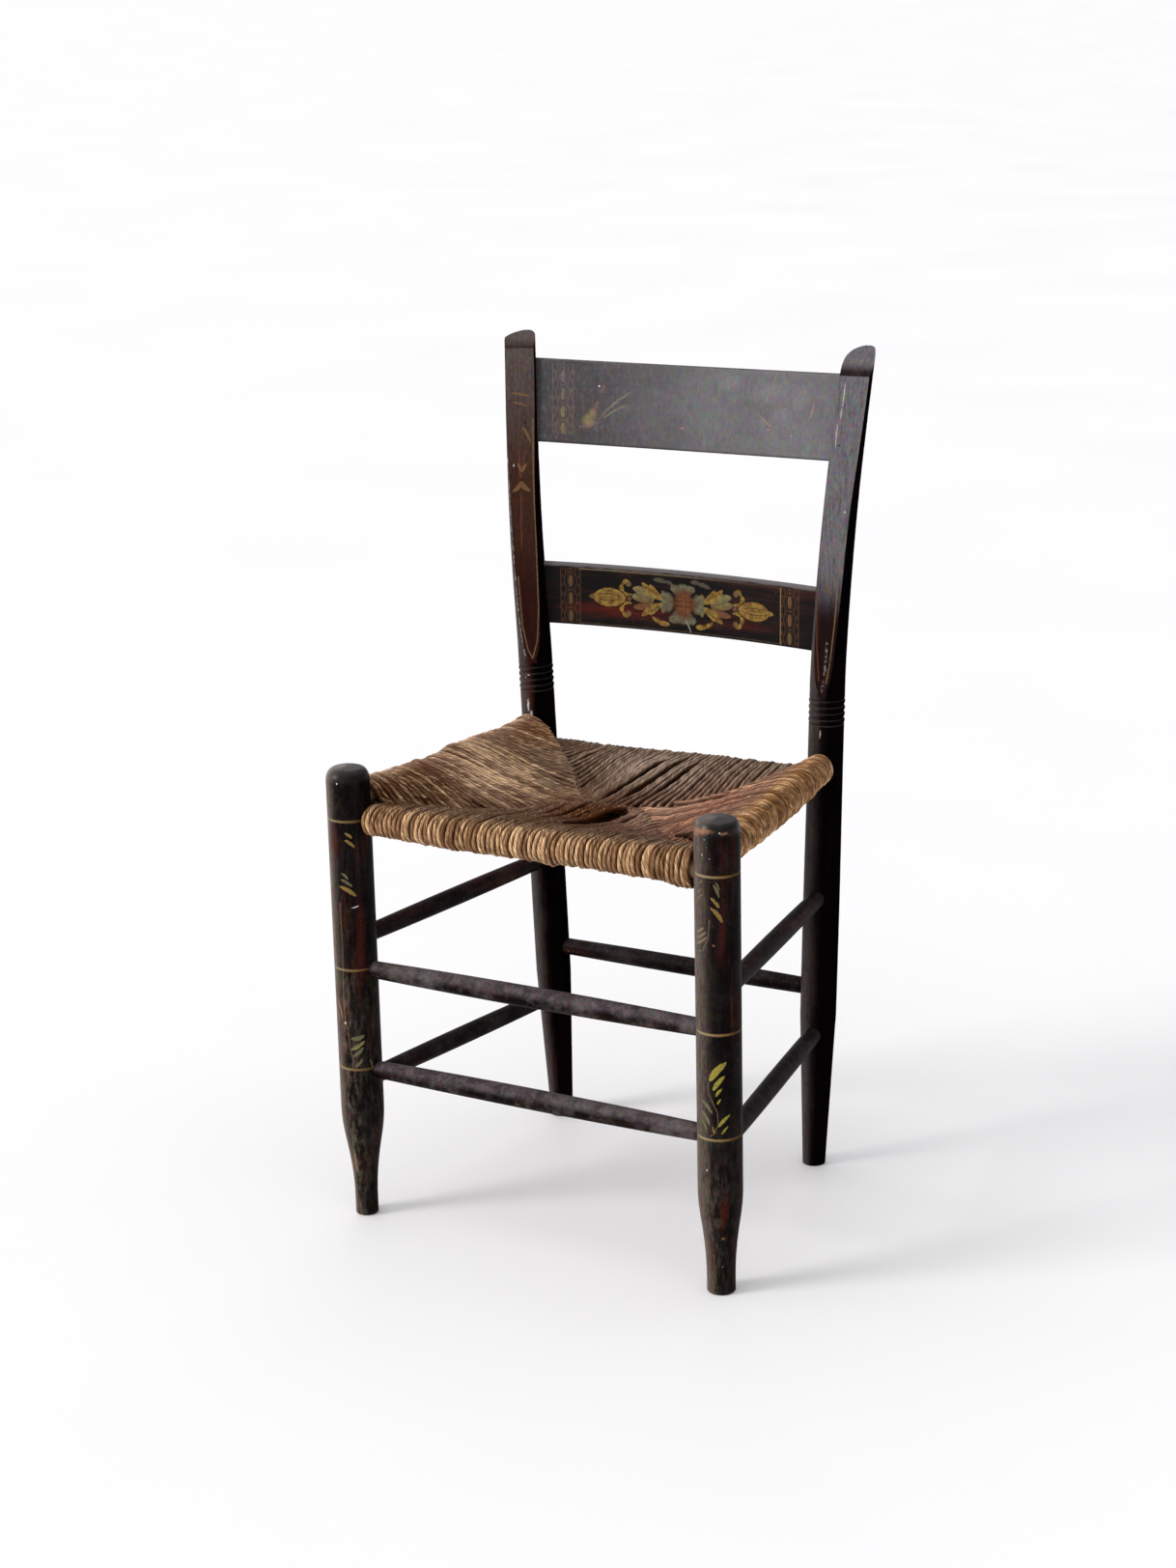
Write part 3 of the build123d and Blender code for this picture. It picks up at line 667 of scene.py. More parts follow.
long_leaf = strokes_mask(ragged_hand, [
    (-97, 762, -66, 786.5, 2.6, 1.6), (-96, 758.5, -68, 774, 2.2, 1.2)], 1.1)
colour = coat(colour, (0.165, 0.15, 0.095), long_leaf, leaf_cover, 0.7)
root = strokes_mask(hand, [(-126, 747, -105, 746.5, 1.6, -0.6)], 1)
colour = coat(colour, (0.105, 0.022, 0.016), root, on_face, 0.6)
traces = strokes_mask(hand, [
    (78, 773, 96, 760, 1.6), (140, 789, 136, 773, 2.4, 1), (-9, 754, -4, 754, 2.6),
    (88, 759, 93, 759.5, 2.2), (115, 755, 119, 755, 2.2)], 0.9)
colour = coat(colour, (0.33, 0.165, 0.1), traces, on_face, 0.5)
white_chip = spots_mask(front, [(-101.8, 790.8, 1, 0.8)], 0.5)
colour = coat(colour, chalk, white_chip, on_face)
feed_paint(shader, paint, colour, 0.3, 0.4)
repaint("crest_rail", crest_paint)


# BACK SLAT
# The lower board, bent like the crest. A flower with buds, curls and leaves is stencilled on
# it in bronze powders, between two gold lines and two chain bands.
slat_middle = 3


def folded(point):
    """The slat's two halves laid on each other, so that one stencil serves both."""
    parts = split(point)
    across = apart(parts["X"], slat_middle)
    return joined(plus(across, slat_middle), parts["Y"])


slat_paint, shader, place = new_material("slat_paint")
board, on_face, parts = board_front(place)
front = vector_calc("MULTIPLY_ADD", board, (1.0246, 1, 1), (5.2, 1.2, 0))
hand = wavered(front, 1.2)
paint = use(old_paint, Point=place["Object"], Stretch=(16, 60, 190), Seed=12,
            Flame=(0.03, 0.009, 0.006), Flame_Amount=0.42, Chip_Amount=0.3, Dust=0.03)
kept = use(rubbed, Point=front, Wear=0.36, Grain=0.5)["Cover"]
cover = times(ramp(kept, 0, 1, 0.45, 1), on_face)
glow = spots_mask(wavered(front, 6), [(-68, 565.5, 46, 6), (80, 563, 26, 3)], 1.5)
glow = times(glow, ramp(noise(scaled(front, (0.05, 0.4, 1)), 1, 4, 0.6), 0.32, 0.6, 0.35, 1))
fading = ramp(parts["X"], 60, 0, 0.45, 1)
colour = coat(paint["Color"], (0.105, 0.01, 0.005), glow, fading, on_face, 0.75)
powder = ramp(noise(front, 0.16, 4, 0.65), 0.32, 0.66)
gold = coat((0.105, 0.055, 0.012), (0.29, 0.178, 0.04), powder)
from_middle = measured("DISTANCE", front, (4, 578, 0))
pale = coat((0.078, 0.068, 0.036), (0.16, 0.146, 0.086), powder)
petal_tint = coat(pale, (0.105, 0.05, 0.025), ramp(from_middle, 20, 10))
petals = spots_mask(folded(wavered(front, 2.6)), [
    (3, 591, 10.5, 7), (3, 565, 12, 7.6), (20.6, 578.4, 7.2, 9.6), (25, 584.2, 3.9, 4.4),
    (25.4, 572.6, 3.9, 4.2), (12, 593.1, 5.2, 4.2), (13.2, 561.6, 5.5, 4.2)], 0.35)
half_hand = folded(hand)
notches = strokes_mask(half_hand, [
    (13.2, 586, 19.4, 592.9, 2.2), (13.7, 570, 20.5, 563.5, 2.2)], 0.9, 0.3)
petals = times(petals, less(1, notches))
colour = coat(colour, petal_tint, petals, cover, 0.85)
disc = spots_mask(hand, [(4, 578, 11, 11.5)], 0.35)
disc_tint = coat((0.062, 0.015, 0.006), (0.14, 0.045, 0.016), powder)
colour = coat(colour, disc_tint, disc, on_face, 0.85)
lattice = strokes_mask(hand, [
    (4, 567.5, 4, 588.5, 1.5), (-6, 578, 14, 578, 1.5), (-0.5, 581.5, -0.5, 587, 1.2),
    (8.5, 581.5, 8.5, 587, 1.2), (-4.5, 583, 12.5, 583, 1.1), (-4.5, 573, 12.5, 573, 1.1),
    (-0.5, 569, -0.5, 574.5, 1.2), (8.5, 569, 8.5, 574.5, 1.2)], 0.9, 0.3)
colour = coat(colour, (0.2, 0.115, 0.045), lattice, disc, on_face, 0.45)
tulips = strokes_mask(half_hand, [
    (36, 578.8, 60.5, 590, 9.6, 2.2), (36.5, 578.6, 62, 581.5, 10, 0.4),
    (37, 577.6, 60, 570, 7.6, -1.8)], 0.8)
tulip_gold = coat((0.115, 0.092, 0.042), (0.22, 0.18, 0.075), powder)
tulip_tint = coat(tulip_gold, (0.14, 0.064, 0.028), ramp(parts["Z"], 582, 572))
colour = coat(colour, tulip_tint, tulips, cover, 0.85)
gold_leaves = [
    (69, 578.5, 110, 578.3, 8.5), (69, 579.6, 103, 581.6, 8, 3.7), (69, 577.4, 104, 575.2, 8, -3.7),
    (27, 580.5, 50, 596, 7, -1), (28, 581, 41, 595, 6.5, -1), (29, 580.5, 45, 587, 5.4, 0.4),
    (27, 576, 50, 562.2, 7, 1), (28, 575.5, 41, 563.5, 6, 1), (29, 576, 45, 570, 5.4, -0.4),
    (18.5, 555.5, 31, 557, 5.6, -0.6), (26, 556, 38, 561.5, 4.2, -0.8),
    (62, 583, 71.5, 585.5, 3.6, -1.5), (71.5, 585.5, 72.5, 593.5, 5, -1.6),
    (72.5, 593, 65, 597, 4.6, -1.4),
    (62, 574, 71.5, 571.5, 3.6, 1.5), (71.5, 571.5, 72.5, 563.5, 5, 1.6),
    (72.5, 564, 65, 560, 4.6, 1.4)]
leaves = strokes_mask(folded(wavered(front, 1.8)), gold_leaves, 0.8, 0.85)
balls = spots_mask(half_hand, [
    (65.6, 594, 3, 2.8), (65.6, 563, 3, 2.8), (25.8, 588, 1.9, 1.9), (25.8, 568.5, 1.9, 1.9)], 0.6)
colour = coat(colour, gold, leaves, cover, 0.9)
colour = coat(colour, (0.15, 0.098, 0.045), balls, cover, 0.75)
knots = spots_mask(half_hand, [(64.5, 578.5, 2.6, 1.8)], 0.6)
colour = coat(colour, (0.17, 0.085, 0.055), knots, cover, 0.7)
cuts = strokes_mask(half_hand, [
    (72, 579.6, 106, 579.6, 1.3, 2.2), (72, 577.6, 106, 577.2, 1.3, -2.2),
    (78, 578.6, 100, 578.6, 0.8), (28, 581.5, 46, 592, 1.2, 0.8), (28, 575, 46, 564.8, 1.2, -0.8),
    (38, 578.8, 57, 584.6, 1.1, 0.5), (38, 577.6, 57, 573.8, 1.1, -0.5), (67, 580, 72, 584, 1.2),
    (67, 577, 72, 573, 1.2)], 0.8)
colour = coat(colour, (0.035, 0.015, 0.008), cuts, on_face, 0.72)
sprigs = strokes_mask(wavered(front, 2.5), [
    (-31, 600.5, -16, 598.5, 5, 0.8), (-18, 600, -8, 596, 3.6, 0.8),
    (12, 601, 24, 600.5, 4.6, 0.8), (20, 600, 36, 596.6, 4.6, 0.8)], 1)
colour = coat(colour, (0.12, 0.105, 0.066), sprigs, cover, 0.5)
top_line = lines_mask(hand, [[(-115, 606.2), (120.5, 606.2)]], 1.5)
low_line = lines_mask(hand, [[(-115, 549.4), (120.5, 549.4)]], 1.1)
fading = ramp(parts["X"], 100, -30, 0.15, 0.8)
colour = coat(colour, (0.185, 0.145, 0.09), top_line, fading, cover, 0.8)
colour = coat(colour, (0.115, 0.08, 0.052), low_line, cover, 0.45)
band_cover = times(ramp(parts["Z"], 547.5, 549), ramp(parts["Z"], 606, 604.4), on_face,
                   ramp(kept, 0, 1, 0.4, 1))
for middle, strength in ((-125, 0.6), (130.1, 0.75)):
    chain = use(chain_band, Point=hand, Middle=middle, Half_Width=11.4, Link=18.5, Base=546.7)
    colour = coat(colour, (0.15, 0.08, 0.036), chain["Link Fill"], band_cover, strength)
    colour = coat(colour, (0.125, 0.06, 0.032), chain["Line"], band_cover, strength * 0.6)
edge_line = lines_mask(hand, [[(119.1, 550), (119.1, 606)]], 1.4)
colour = coat(colour, (0.25, 0.145, 0.06), edge_line, cover, 0.75)
scratch = strokes_mask(front, [(6.2, 561.2, 12.8, 548.5, 1.5, 0.8)], 0.5)
colour = coat(colour, (0.34, 0.29, 0.22), scratch, on_face, 0.7)
colour = mottled(scaled(front, (0.7, 1, 1)), colour, 1.2)
# Dust, with painted light from above, greys the upper faces.
colour = dusted_with_top_light(place, colour, 1, (0.138, 0.127, 0.129))
# Painted highlight: a grey band of light along the rounded top edge.
painted_edge_highlight = ramp(plus(parts["Z"], times(noise(front, 0.09, 3), 3)), 607, 609.4)
colour = coat(colour, (0.13, 0.118, 0.12), painted_edge_highlight, 0.75)
feed_paint(shader, paint, colour, 0.08, 0.4)
repaint("back_slat", slat_paint)


# RUNGS
# Seven slim turned rungs tie the legs. Shoes and hands have scuffed the black paint, and a
# painted grey highlight lies on their upper faces, more on the front pair.
def paint_rung(name, stretch, turn, dust, seed):
    """A rung's finish, with grain along it. The turn is the rung's own in plan, in degrees."""
    material, shader, place = new_material(name)
    spot = turned(place["Object"], radians(turn))
    paint = use(old_paint, Point=spot, Stretch=stretch, Seed=seed, Flame=(0.035, 0.012, 0.008),
                Flame_Amount=0.35, Chip_Amount=0.42, Dust=dust)
    up = split(place["Normal"])["Z"]
    cover = use(rubbed, Point=scaled(spot, (300, 300, 300)), Wear=0.52, Grain=0.3)["Cover"]
    # Scuffs, with a painted grey highlight on the upper faces.
    colour = coat(paint["Color"], (0.13, 0.105, 0.112), ramp(up, -0.1, 0.7),
                  ramp(cover, 0, 1, 0.45, 1), dust)
    colour = mottled(scaled(place["Object"], (1000, 1000, 1000)), colour, 1.8)
    feed_paint(shader, paint, colour, 0.02)
    return material


front_rung_paint = paint_rung("front_rung_paint", (18, 240, 240), 0, 0.7, 21)
repaint("front_rung_upper", front_rung_paint)
repaint("front_rung_lower", front_rung_paint)
repaint("back_rung", paint_rung("back_rung_paint", (18, 240, 240), 0, 0.18, 27))
for side, turn in (("left", 7.9), ("right", -7.9)):
    side_paint = paint_rung("side_rung_paint_" + side, (240, 18, 240), turn, 0.12, 24)
    for level in ("upper", "lower"):
        repaint(f"side_rung_{side}_{level}", side_paint)


# CREST PINS
# Small wooden pins through the crest's tenons, painted over with the posts.
pin_paint, shader, place = new_material("pin_paint")
paint = use(old_paint, Point=place["Object"], Stretch=(300, 300, 300), Seed=31, Flame=red_brown,
            Flame_Amount=0.4, Chip_Amount=0.4, Dust=0.4)
feed_paint(shader, paint, paint["Color"], 0.08)
repaint("crest_pins", pin_paint)


# SEAT RAILS
# Four turned rails of bare hardwood that the rush is woven round, and that it hides.
def bare_rail(name, stretch, turn):
    """Bare wood with its rings along the rail, which is turned in plan by some degrees."""
    material, shader, place = new_material(name)
    spot = turned(place["Object"], radians(turn))
    rings = noise(scaled(spot, stretch), 1, 5, 0.6, 0.4)
    colour = coat((0.2, 0.115, 0.055), (0.42, 0.28, 0.15), rings)
    feed(shader.inputs, Base_Color=colour, Roughness=ramp(rings, 0.2, 0.8, 0.75, 0.55),
         Specular_IOR_Level=0.3, Normal=relief(rings, 0.4, 0.0003))
    return material


long_rail = bare_rail("bare_rail_across", (16, 260, 260), 0)
repaint("seat_rail_front", long_rail)
repaint("seat_rail_back", long_rail)
repaint("seat_rail_left", bare_rail("bare_rail_left", (260, 16, 260), 6.4))
repaint("seat_rail_right", bare_rail("bare_rail_right", (260, 16, 260), -6.4))


# RUSH SEAT
# Cords of rush leaf, twisted two by two and woven over the four rails from the corners in.
# Each goes round its rail and dives between its neighbours at the seam with the next side.
random = np.random.default_rng(7)
strand_half = 0.00255
# Where the rails cross in plan, on the right, and the ridge across the seat's middle that
# the front and the back seams run to.
corners = {"front": (0.1996, -0.1678), "back": (0.1646, 0.141)}
bridge_half, bridge_y = 0.031, 0.0004
# Each side's rail, its first and last strand along it, and the heights of the two layers by
# the distance into the seat.
zones = {
    "front": {"rail_z": 0.415, "first": -0.1752, "last": 0.1752, "count": 71,
              "top": [(0.03, 0.4262), (0.05, 0.4215), (0.105, 0.4095), (0.17, 0.406)],
              "under": [(0.05, 0.3985), (0.11, 0.395), (0.17, 0.3935)]},
    "back": {"rail_z": 0.4095, "first": -0.1448, "last": 0.1448, "count": 58,
             "top": [(0.02, 0.4215), (0.04, 0.421), (0.085, 0.4135), (0.142, 0.406)],
             "under": [(0.05, 0.3945), (0.142, 0.3935)]},
    "left": {"rail_z": 0.4325, "first": -0.144, "last": 0.1212, "count": 54,
             "top": [(0.014, 0.4435), (0.028, 0.4391), (0.064, 0.4251), (0.112, 0.4111),
                     (0.173, 0.406)],
             "under": [(0.05, 0.4055), (0.11, 0.3975), (0.173, 0.3935)]},
}
zones["right"] = dict(zones["left"])
roll_half = 0.0131


def rail_place(zone, step):
    """Where a strand crosses its rail, in plan, and the way from there into the seat."""
    if zone in ("front", "back"):
        return np.array([step, corners[zone][1]]), np.array([0, 1 if zone == "front" else -1])
    share = (step - corners["front"][1]) / (corners["back"][1] - corners["front"][1])
    reach = corners["front"][0] + share * (corners["back"][0] - corners["front"][0])
    sign = -1 if zone == "left" else 1
    return np.array([sign * reach, step]), np.array([-sign, 0])


def seam_distance(zone, step):
    """How far into the seat a strand runs before it meets the next side."""
    if zone in ("front", "back"):
        far_x, far_y = corners[zone]
        run = abs(bridge_y - far_y)
        return run * min(1, (far_x - abs(step)) / (far_x - bridge_half))
    rail, _ = rail_place(zone, step)
    far_x, far_y = corners["front" if step < bridge_y else "back"]
    seam_x = bridge_half + (far_x - bridge_half) * (step - bridge_y) / (far_y - bridge_y)
    return abs(rail[0]) - seam_x


def level(zone, layer_name, inward):
    """The height of a strand's middle in the top or the under layer."""
    roll = zones[zone]["rail_z"] + (roll_half if layer_name == "top" else -roll_half)
    table = [(0, roll)] + zones[zone][layer_name]
    return np.interp(inward, [u for u, _ in table], [z for _, z in table])


# The height of each seam's top, by the distance from its front or back rail.
seam_tops = {
    ("front", "left"): [(0, 0.43), (0.04, 0.4235), (0.09, 0.41), (0.12, 0.4075), (0.148, 0.41),
                        (0.168, 0.409)],
    ("front", "right"): [(0, 0.433), (0.034, 0.421), (0.078, 0.4075), (0.123, 0.404),
                         (0.15, 0.408), (0.168, 0.409)],
    ("back", "left"): [(0, 0.44), (0.031, 0.438), (0.064, 0.433), (0.097, 0.423), (0.122, 0.411),
                       (0.141, 0.409)],
    ("back", "right"): [(0, 0.437), (0.01, 0.433), (0.052, 0.415), (0.098, 0.41), (0.141, 0.409)],
}


def seam_height(zone, step, inward):
    """The height of the woven top at a strand's seam."""
    rail, way = rail_place(zone, step)
    spot = rail + way * inward
    end = "front" if spot[1] < bridge_y else "back"
    from_rail = abs(spot[1] - corners[end][1])
    sides = [np.interp(from_rail, *zip(*seam_tops[end, side])) for side in ("left", "right")]
    share = np.clip(spot[0] / bridge_half / 2 + 0.5, 0, 1)
    return sides[0] * (1 - share) + sides[1] * share - 0.0024


# How much the strands bulge up and down at their rail, as (places along the rail, rise of
# the upper side, drop of the lower side).
lifts = {
    "front": ([-0.176, -0.09, 0, 0.016, 0.022, 0.03, 0.036, 0.1, 0.145, 0.16, 0.176],
              [0, 0, 0, 0, 0.001, 0.001, 0, 0.001, 0.002, 0.005, 0.005],
              [-0.0015, 0.001, -0.0002, 0, 0.002, 0.0022, 0, 0, 0, 0.004, 0.003]),
    "back": ([-0.145, -0.09, -0.01, 0.02, 0.145], [-0.0005, -0.0015, 0, 0.0015, 0.003],
             [0, 0, 0, 0, 0]),
    "left": ([-0.13, -0.095, -0.041, -0.022, -0.003, 0.054, 0.074, 0.1, 0.12],
             [0.0015, 0.0005, -0.003, -0.003, 0.0015, 0.001, -0.001, 0.0005, 0.004],
             [0, 0, 0.001, 0.001, 0, 0, 0, 0, 0]),
    "right": ([-0.13, -0.09, -0.05, 0.04, 0.06, 0.12], [0, 0, 0.0005, 0, 0, 0],
              [0.002, 0.003, 0.0045, 0.0045, 0.0025, 0]),
}


unevenness = 0.00035
row_gap, point_gap = 0.004, 0.0022
roll_turns = 9


def strand_line(zone, step):
    """A strand's middle line as (distance into the seat, height): from the seam along the
    underside, round the rail, and back over the top to the seam."""
    seam = seam_distance(zone, step)
    rail_z = zones[zone]["rail_z"]
    places, ups, downs = lifts[zone]
    lift = np.interp(step, places, ups) + random.normal(0, unevenness)
    drop = np.interp(step, places, downs) + random.normal(0, unevenness)
    half = roll_half + random.normal(0, 0.00025)
    inward = np.arange(max(seam - row_gap / 2, row_gap), row_gap / 2, -row_gap)
    low = [(seam + 0.003, level(zone, "under", seam) + 0.0035)]
    low += [(u, level(zone, "under", u) - drop * np.exp(-(u / 0.04) ** 2)) for u in inward]
    turns = np.linspace(0, pi, roll_turns)
    tall = half + (lift + drop) / 2
    middle_z = rail_z + (lift - drop) / 2
    around = [(-half * np.sin(turn), middle_z - tall * np.cos(turn)) for turn in turns]
    short = seam_height(zone, step, seam) - level(zone, "top", seam)
    top = [(u, level(zone, "top", u) + short * (u / seam) ** 2 + lift * np.exp(-(u / 0.05) ** 2))
           for u in inward[::-1]]
    top += [(seam + 0.0015, top[-1][1] - 0.0012), (seam + 0.0045, top[-1][1] - 0.0034)]
    line = np.array(low + around + top)
    gaps = np.hypot(*np.diff(line, axis=0).T)
    distance = np.concatenate([[0], np.cumsum(gaps)])
    outermost = distance[len(low) + roll_turns // 2]
    even = np.linspace(0, distance[-1], max(int(distance[-1] / point_gap), 12))
    smooth = np.stack([np.interp(even, distance, line[:, column]) for column in (0, 1)], 1)
    for _ in range(3):
        smooth[1:-1] = smooth[:-2] * 0.25 + smooth[1:-1] * 0.5 + smooth[2:] * 0.25
    return smooth, even, even - outermost


# Where strands part, as (place along the rail, from, to, width) of each slit. From and to are
# the distances into the seat.
partings = {
    "front": [(0.018, 0.038, 0.165, 0.03), (0.04, 0.095, 0.15, 0.007), (-0.006, 0.06, 0.15, 0.007),
              (-0.021, 0.055, 0.168, 0.009), (-0.04, 0.085, 0.15, 0.005),
              (-0.062, 0.07, 0.12, 0.006)],
    "back": [(0.02, 0.012, 0.125, 0.0085), (0.004, 0.018, 0.138, 0.0085),
             (0.034, 0.02, 0.11, 0.006), (-0.08, 0.02, 0.07, 0.0035)],
    "left": [(-0.07, 0.06, 0.11, 0.004), (0.03, 0.08, 0.14, 0.004)],
    "right": [(0.018, 0.045, 0.155, 0.023), (-0.034, 0.07, 0.12, 0.006)],
}
# Strands that are paler than their neighbours, by their places along the rail.
pale_strands = {"right": (0.0275, 0.038)}


def unit(values):
    """Values held between 0 and 1."""
    return np.clip(values, 0, 1)


slit_end, slit_spread = 0.02, 0.012


def side_shift(zone, step, inward, reach):
    """How far a strand leans aside, on its way to the seat's off-centre middle and, on top,
    where its neighbours part and leave a slit."""
    shift = np.zeros_like(inward)
    if zone == "back":
        run = corners[zone][1] - bridge_y
        lean = -0.024 * np.exp(-((step - 0.01) / 0.034) ** 2)
        shift = lean * unit(inward / run) * (reach > 0)
    for place, start, end, width in partings[zone]:
        off = step - place
        parted = np.sign(off + 1e-6) * width / 2 * np.exp(-abs(off) / slit_spread)
        within = unit((inward - start) / slit_end) * unit((end - inward) / slit_end)
        shift = shift + parted * within * (reach > 0)
    return shift


def add_tube(tubes, plan, heights, distance, reach, shade):
    """Adds a strand to a mesh's points, faces, shades, reaches and leaf coordinates. Plan and
    heights hold one row of points for each distance along the strand."""
    points, faces, shades, reaches, leaf_coordinates = tubes
    start = sum(len(part) for part in points)
    count, sides = heights.shape
    points.append(np.concatenate([plan, heights[..., None]], 2).reshape(-1, 3))
    ring = np.arange(sides)
    following = (ring + 1) % sides
    left, right = ring / sides, (ring + 1) / sides
    for row in range(count - 1):
        low = start + row * sides
        high = low + sides
        faces.append(np.stack([low + ring, low + following, high + following, high + ring], 1))
        near, far = np.full(sides, distance[row]), np.full(sides, distance[row + 1])
        corners_round = np.stack([left, near, right, near, right, far, left, far], 1)
        leaf_coordinates.append(corners_round.reshape(-1, 2))
    shades.append(np.full(count * sides, shade))
    reaches.append(np.repeat(reach, sides))


strand_sides = 8
twist_pitch, lobe_depth = 0.021, 0.12


def weave(zone):
    """All the strands of one side as a single mesh, with its leaf coordinates."""
    steps = np.linspace(zones[zone]["first"], zones[zone]["last"], zones[zone]["count"])
    tubes = [[] for _ in range(5)]
    flat_top = 0.7 if zone in ("left", "right") else 0.92
    for step in steps:
        line, distance, reach = strand_line(zone, step)
        rail, way = rail_place(zone, step)
        beside = np.array([-way[1], way[0]])
        aside = random.normal(0, 0.00018) + side_shift(zone, step, line[:, 0], reach) * beside.sum()
        aside += 0.0005 * np.sin(distance / 0.018 + random.uniform(0, tau))
        tangent = np.gradient(line, axis=0)
        tangent /= np.hypot(*tangent.T)[:, None]
        outward = np.stack([-tangent[:, 1], tangent[:, 0]], 1)
        above = (line[:, 1] - zones[zone]["rail_z"]) / 0.008
        on_top = unit(above) * unit(line[:, 0] / 0.03)
        stout = 1 + random.normal(0, 0.075)
        stout = stout + 0.05 * np.sin(distance / 0.013 + random.uniform(0, tau))
        thick = strand_half * stout * (1 - (1 - flat_top) * on_top)
        below = unit(-above) * unit(line[:, 0] / 0.02)
        wide = strand_half * (1 + random.normal(0, 0.05))
        wide = wide * (1 + (1 - flat_top) * 0.5 * on_top + 0.35 * below)
        twist = distance / twist_pitch * tau + random.uniform(0, tau)
        turns = np.arange(strand_sides) * tau / strand_sides
        lobes = 1 + lobe_depth * np.cos(2 * (turns[None, :] - twist[:, None] / 2))
        rise = np.sin(turns)[None, :] * thick[:, None] * lobes
        spread = np.cos(turns)[None, :] * wide[:, None] * lobes + aside[:, None]
        inward = line[:, 0][:, None] + outward[:, 0][:, None] * rise
        heights = line[:, 1][:, None] + outward[:, 1][:, None] * rise
        plan = rail[None, None, :] + way * inward[..., None] + beside * spread[..., None]
        shade = random.uniform(0, 1)
        palest = pale_strands.get(zone, (1, 1))
        if palest[0] < step < palest[1]:
            shade += 1.2
        add_tube(tubes, plan, heights, distance, reach, shade)
    return [np.concatenate(part) for part in tubes]


def leaf_mesh(name, points, faces, shades, reaches, leaf_coordinates):
    """A smooth mesh of leaf. Each strand has its own shade, and each point its distance
    along the strand from the outside of the rail."""
    mesh = bpy.data.meshes.new(name)
    mesh.from_pydata(points.tolist(), [], faces.tolist())
    mesh.shade_smooth()
    mesh.attributes.new("leaf_shade", "FLOAT", "POINT").data.foreach_set("value", shades)
    mesh.attributes.new("leaf_reach", "FLOAT", "POINT").data.foreach_set("value", reaches)
    mesh.uv_layers.new(name="leaf").data.foreach_set("uv", leaf_coordinates.ravel())
    piece = bpy.data.objects.new(name, mesh)
    scene.collection.objects.link(piece)
    return piece


leaf_fibre, given, result = effect("leaf_fibre", {"Vector": "Leaf", "Float": "Shade, Twist"},
                                   {"Float": "Streak, Fleck, Side, Height"})
parts = split(given["Leaf"])
wound = times(plus(parts["X"], times(parts["Y"], given["Twist"])), tau)
rolled = joined(plus(times(calc("COSINE", wound), 0.9), times(given["Shade"], 83)),
                times(calc("SINE", wound), 0.9), times(parts["Y"], 20))
streak = noise(rolled, 1.6, 3, 0.6)
fleck = noise(rolled, 4.5, 2, 0.5)
# This mask marks each cord's flanks, where it lies against its neighbours.
side = calc("ABSOLUTE", calc("COSINE", times(parts["X"], tau)))
feed(result, Streak=streak, Fleck=fleck, Side=side,
     Height=plus(times(streak, 0.6), times(fleck, 0.4)))


# The seat's faded and stained zones, as (blot in plan in millimetres, dark tone, light tone,
# how lively the leaf still is).
faded_zones = [
    ((-20, -125, 190, 40), (0.058, 0.024, 0.009), (0.178, 0.094, 0.048), 0.2),
    ((-50, 95, 75, 60), (0.185, 0.128, 0.095), (0.5, 0.37, 0.29), 0.1),
    ((-125, -10, 90, 125), (0.11, 0.056, 0.026), (0.35, 0.225, 0.135), 0.7),
    ((-144, -26, 68, 38), (0.19, 0.1, 0.054), (0.62, 0.43, 0.3), 1.2),
    ((-190, -105, 46, 72), (0.07, 0.018, 0.005), (0.185, 0.066, 0.02), 0.4),
    ((-138, 118, 50, 46), (0.085, 0.032, 0.012), (0.235, 0.115, 0.05), 0.4),
    ((-72, 42, 48, 30), (0.1, 0.062, 0.038), (0.28, 0.195, 0.135), 0.3),
    ((-130, -105, 60, 28), (0.07, 0.032, 0.014), (0.2, 0.112, 0.06), 0.3),
    ((10, -42, 84, 64), (0.036, 0.008, 0.002), (0.125, 0.044, 0.014), 0.05),
    ((118, -15, 64, 80), (0.115, 0.042, 0.022), (0.3, 0.128, 0.078), 0.8),
    ((62, -10, 26, 44), (0.15, 0.078, 0.05), (0.4, 0.24, 0.165), 1),
    ((150, 60, 32, 60), (0.125, 0.056, 0.028), (0.33, 0.18, 0.105), 0.8),
]
seat_fading, given, result = effect("seat_fading", {"Vector": "Point"},
                                    {"Color": "Dark, Light", "Float": "Lively"})
plan = scaled(given["Point"], (1000, 1000, 0))
for scale, reach in ((0.035, 60), (0.5, 14)):
    plan = wavered(plan, reach, scale, 4, 0.6)
dark, light, lively = (0.135, 0.088, 0.06), (0.37, 0.265, 0.195), 0
for blot, dark_tint, light_tint, strength in faded_zones:
    faded = spots_mask(plan, [blot], 1.3)
    dark = coat(dark, dark_tint, faded)
    light = coat(light, light_tint, faded)
    lively = plus(times(lively, less(1, faded)), times(faded, strength))
feed(result, Dark=dark, Light=light, Lively=lively)


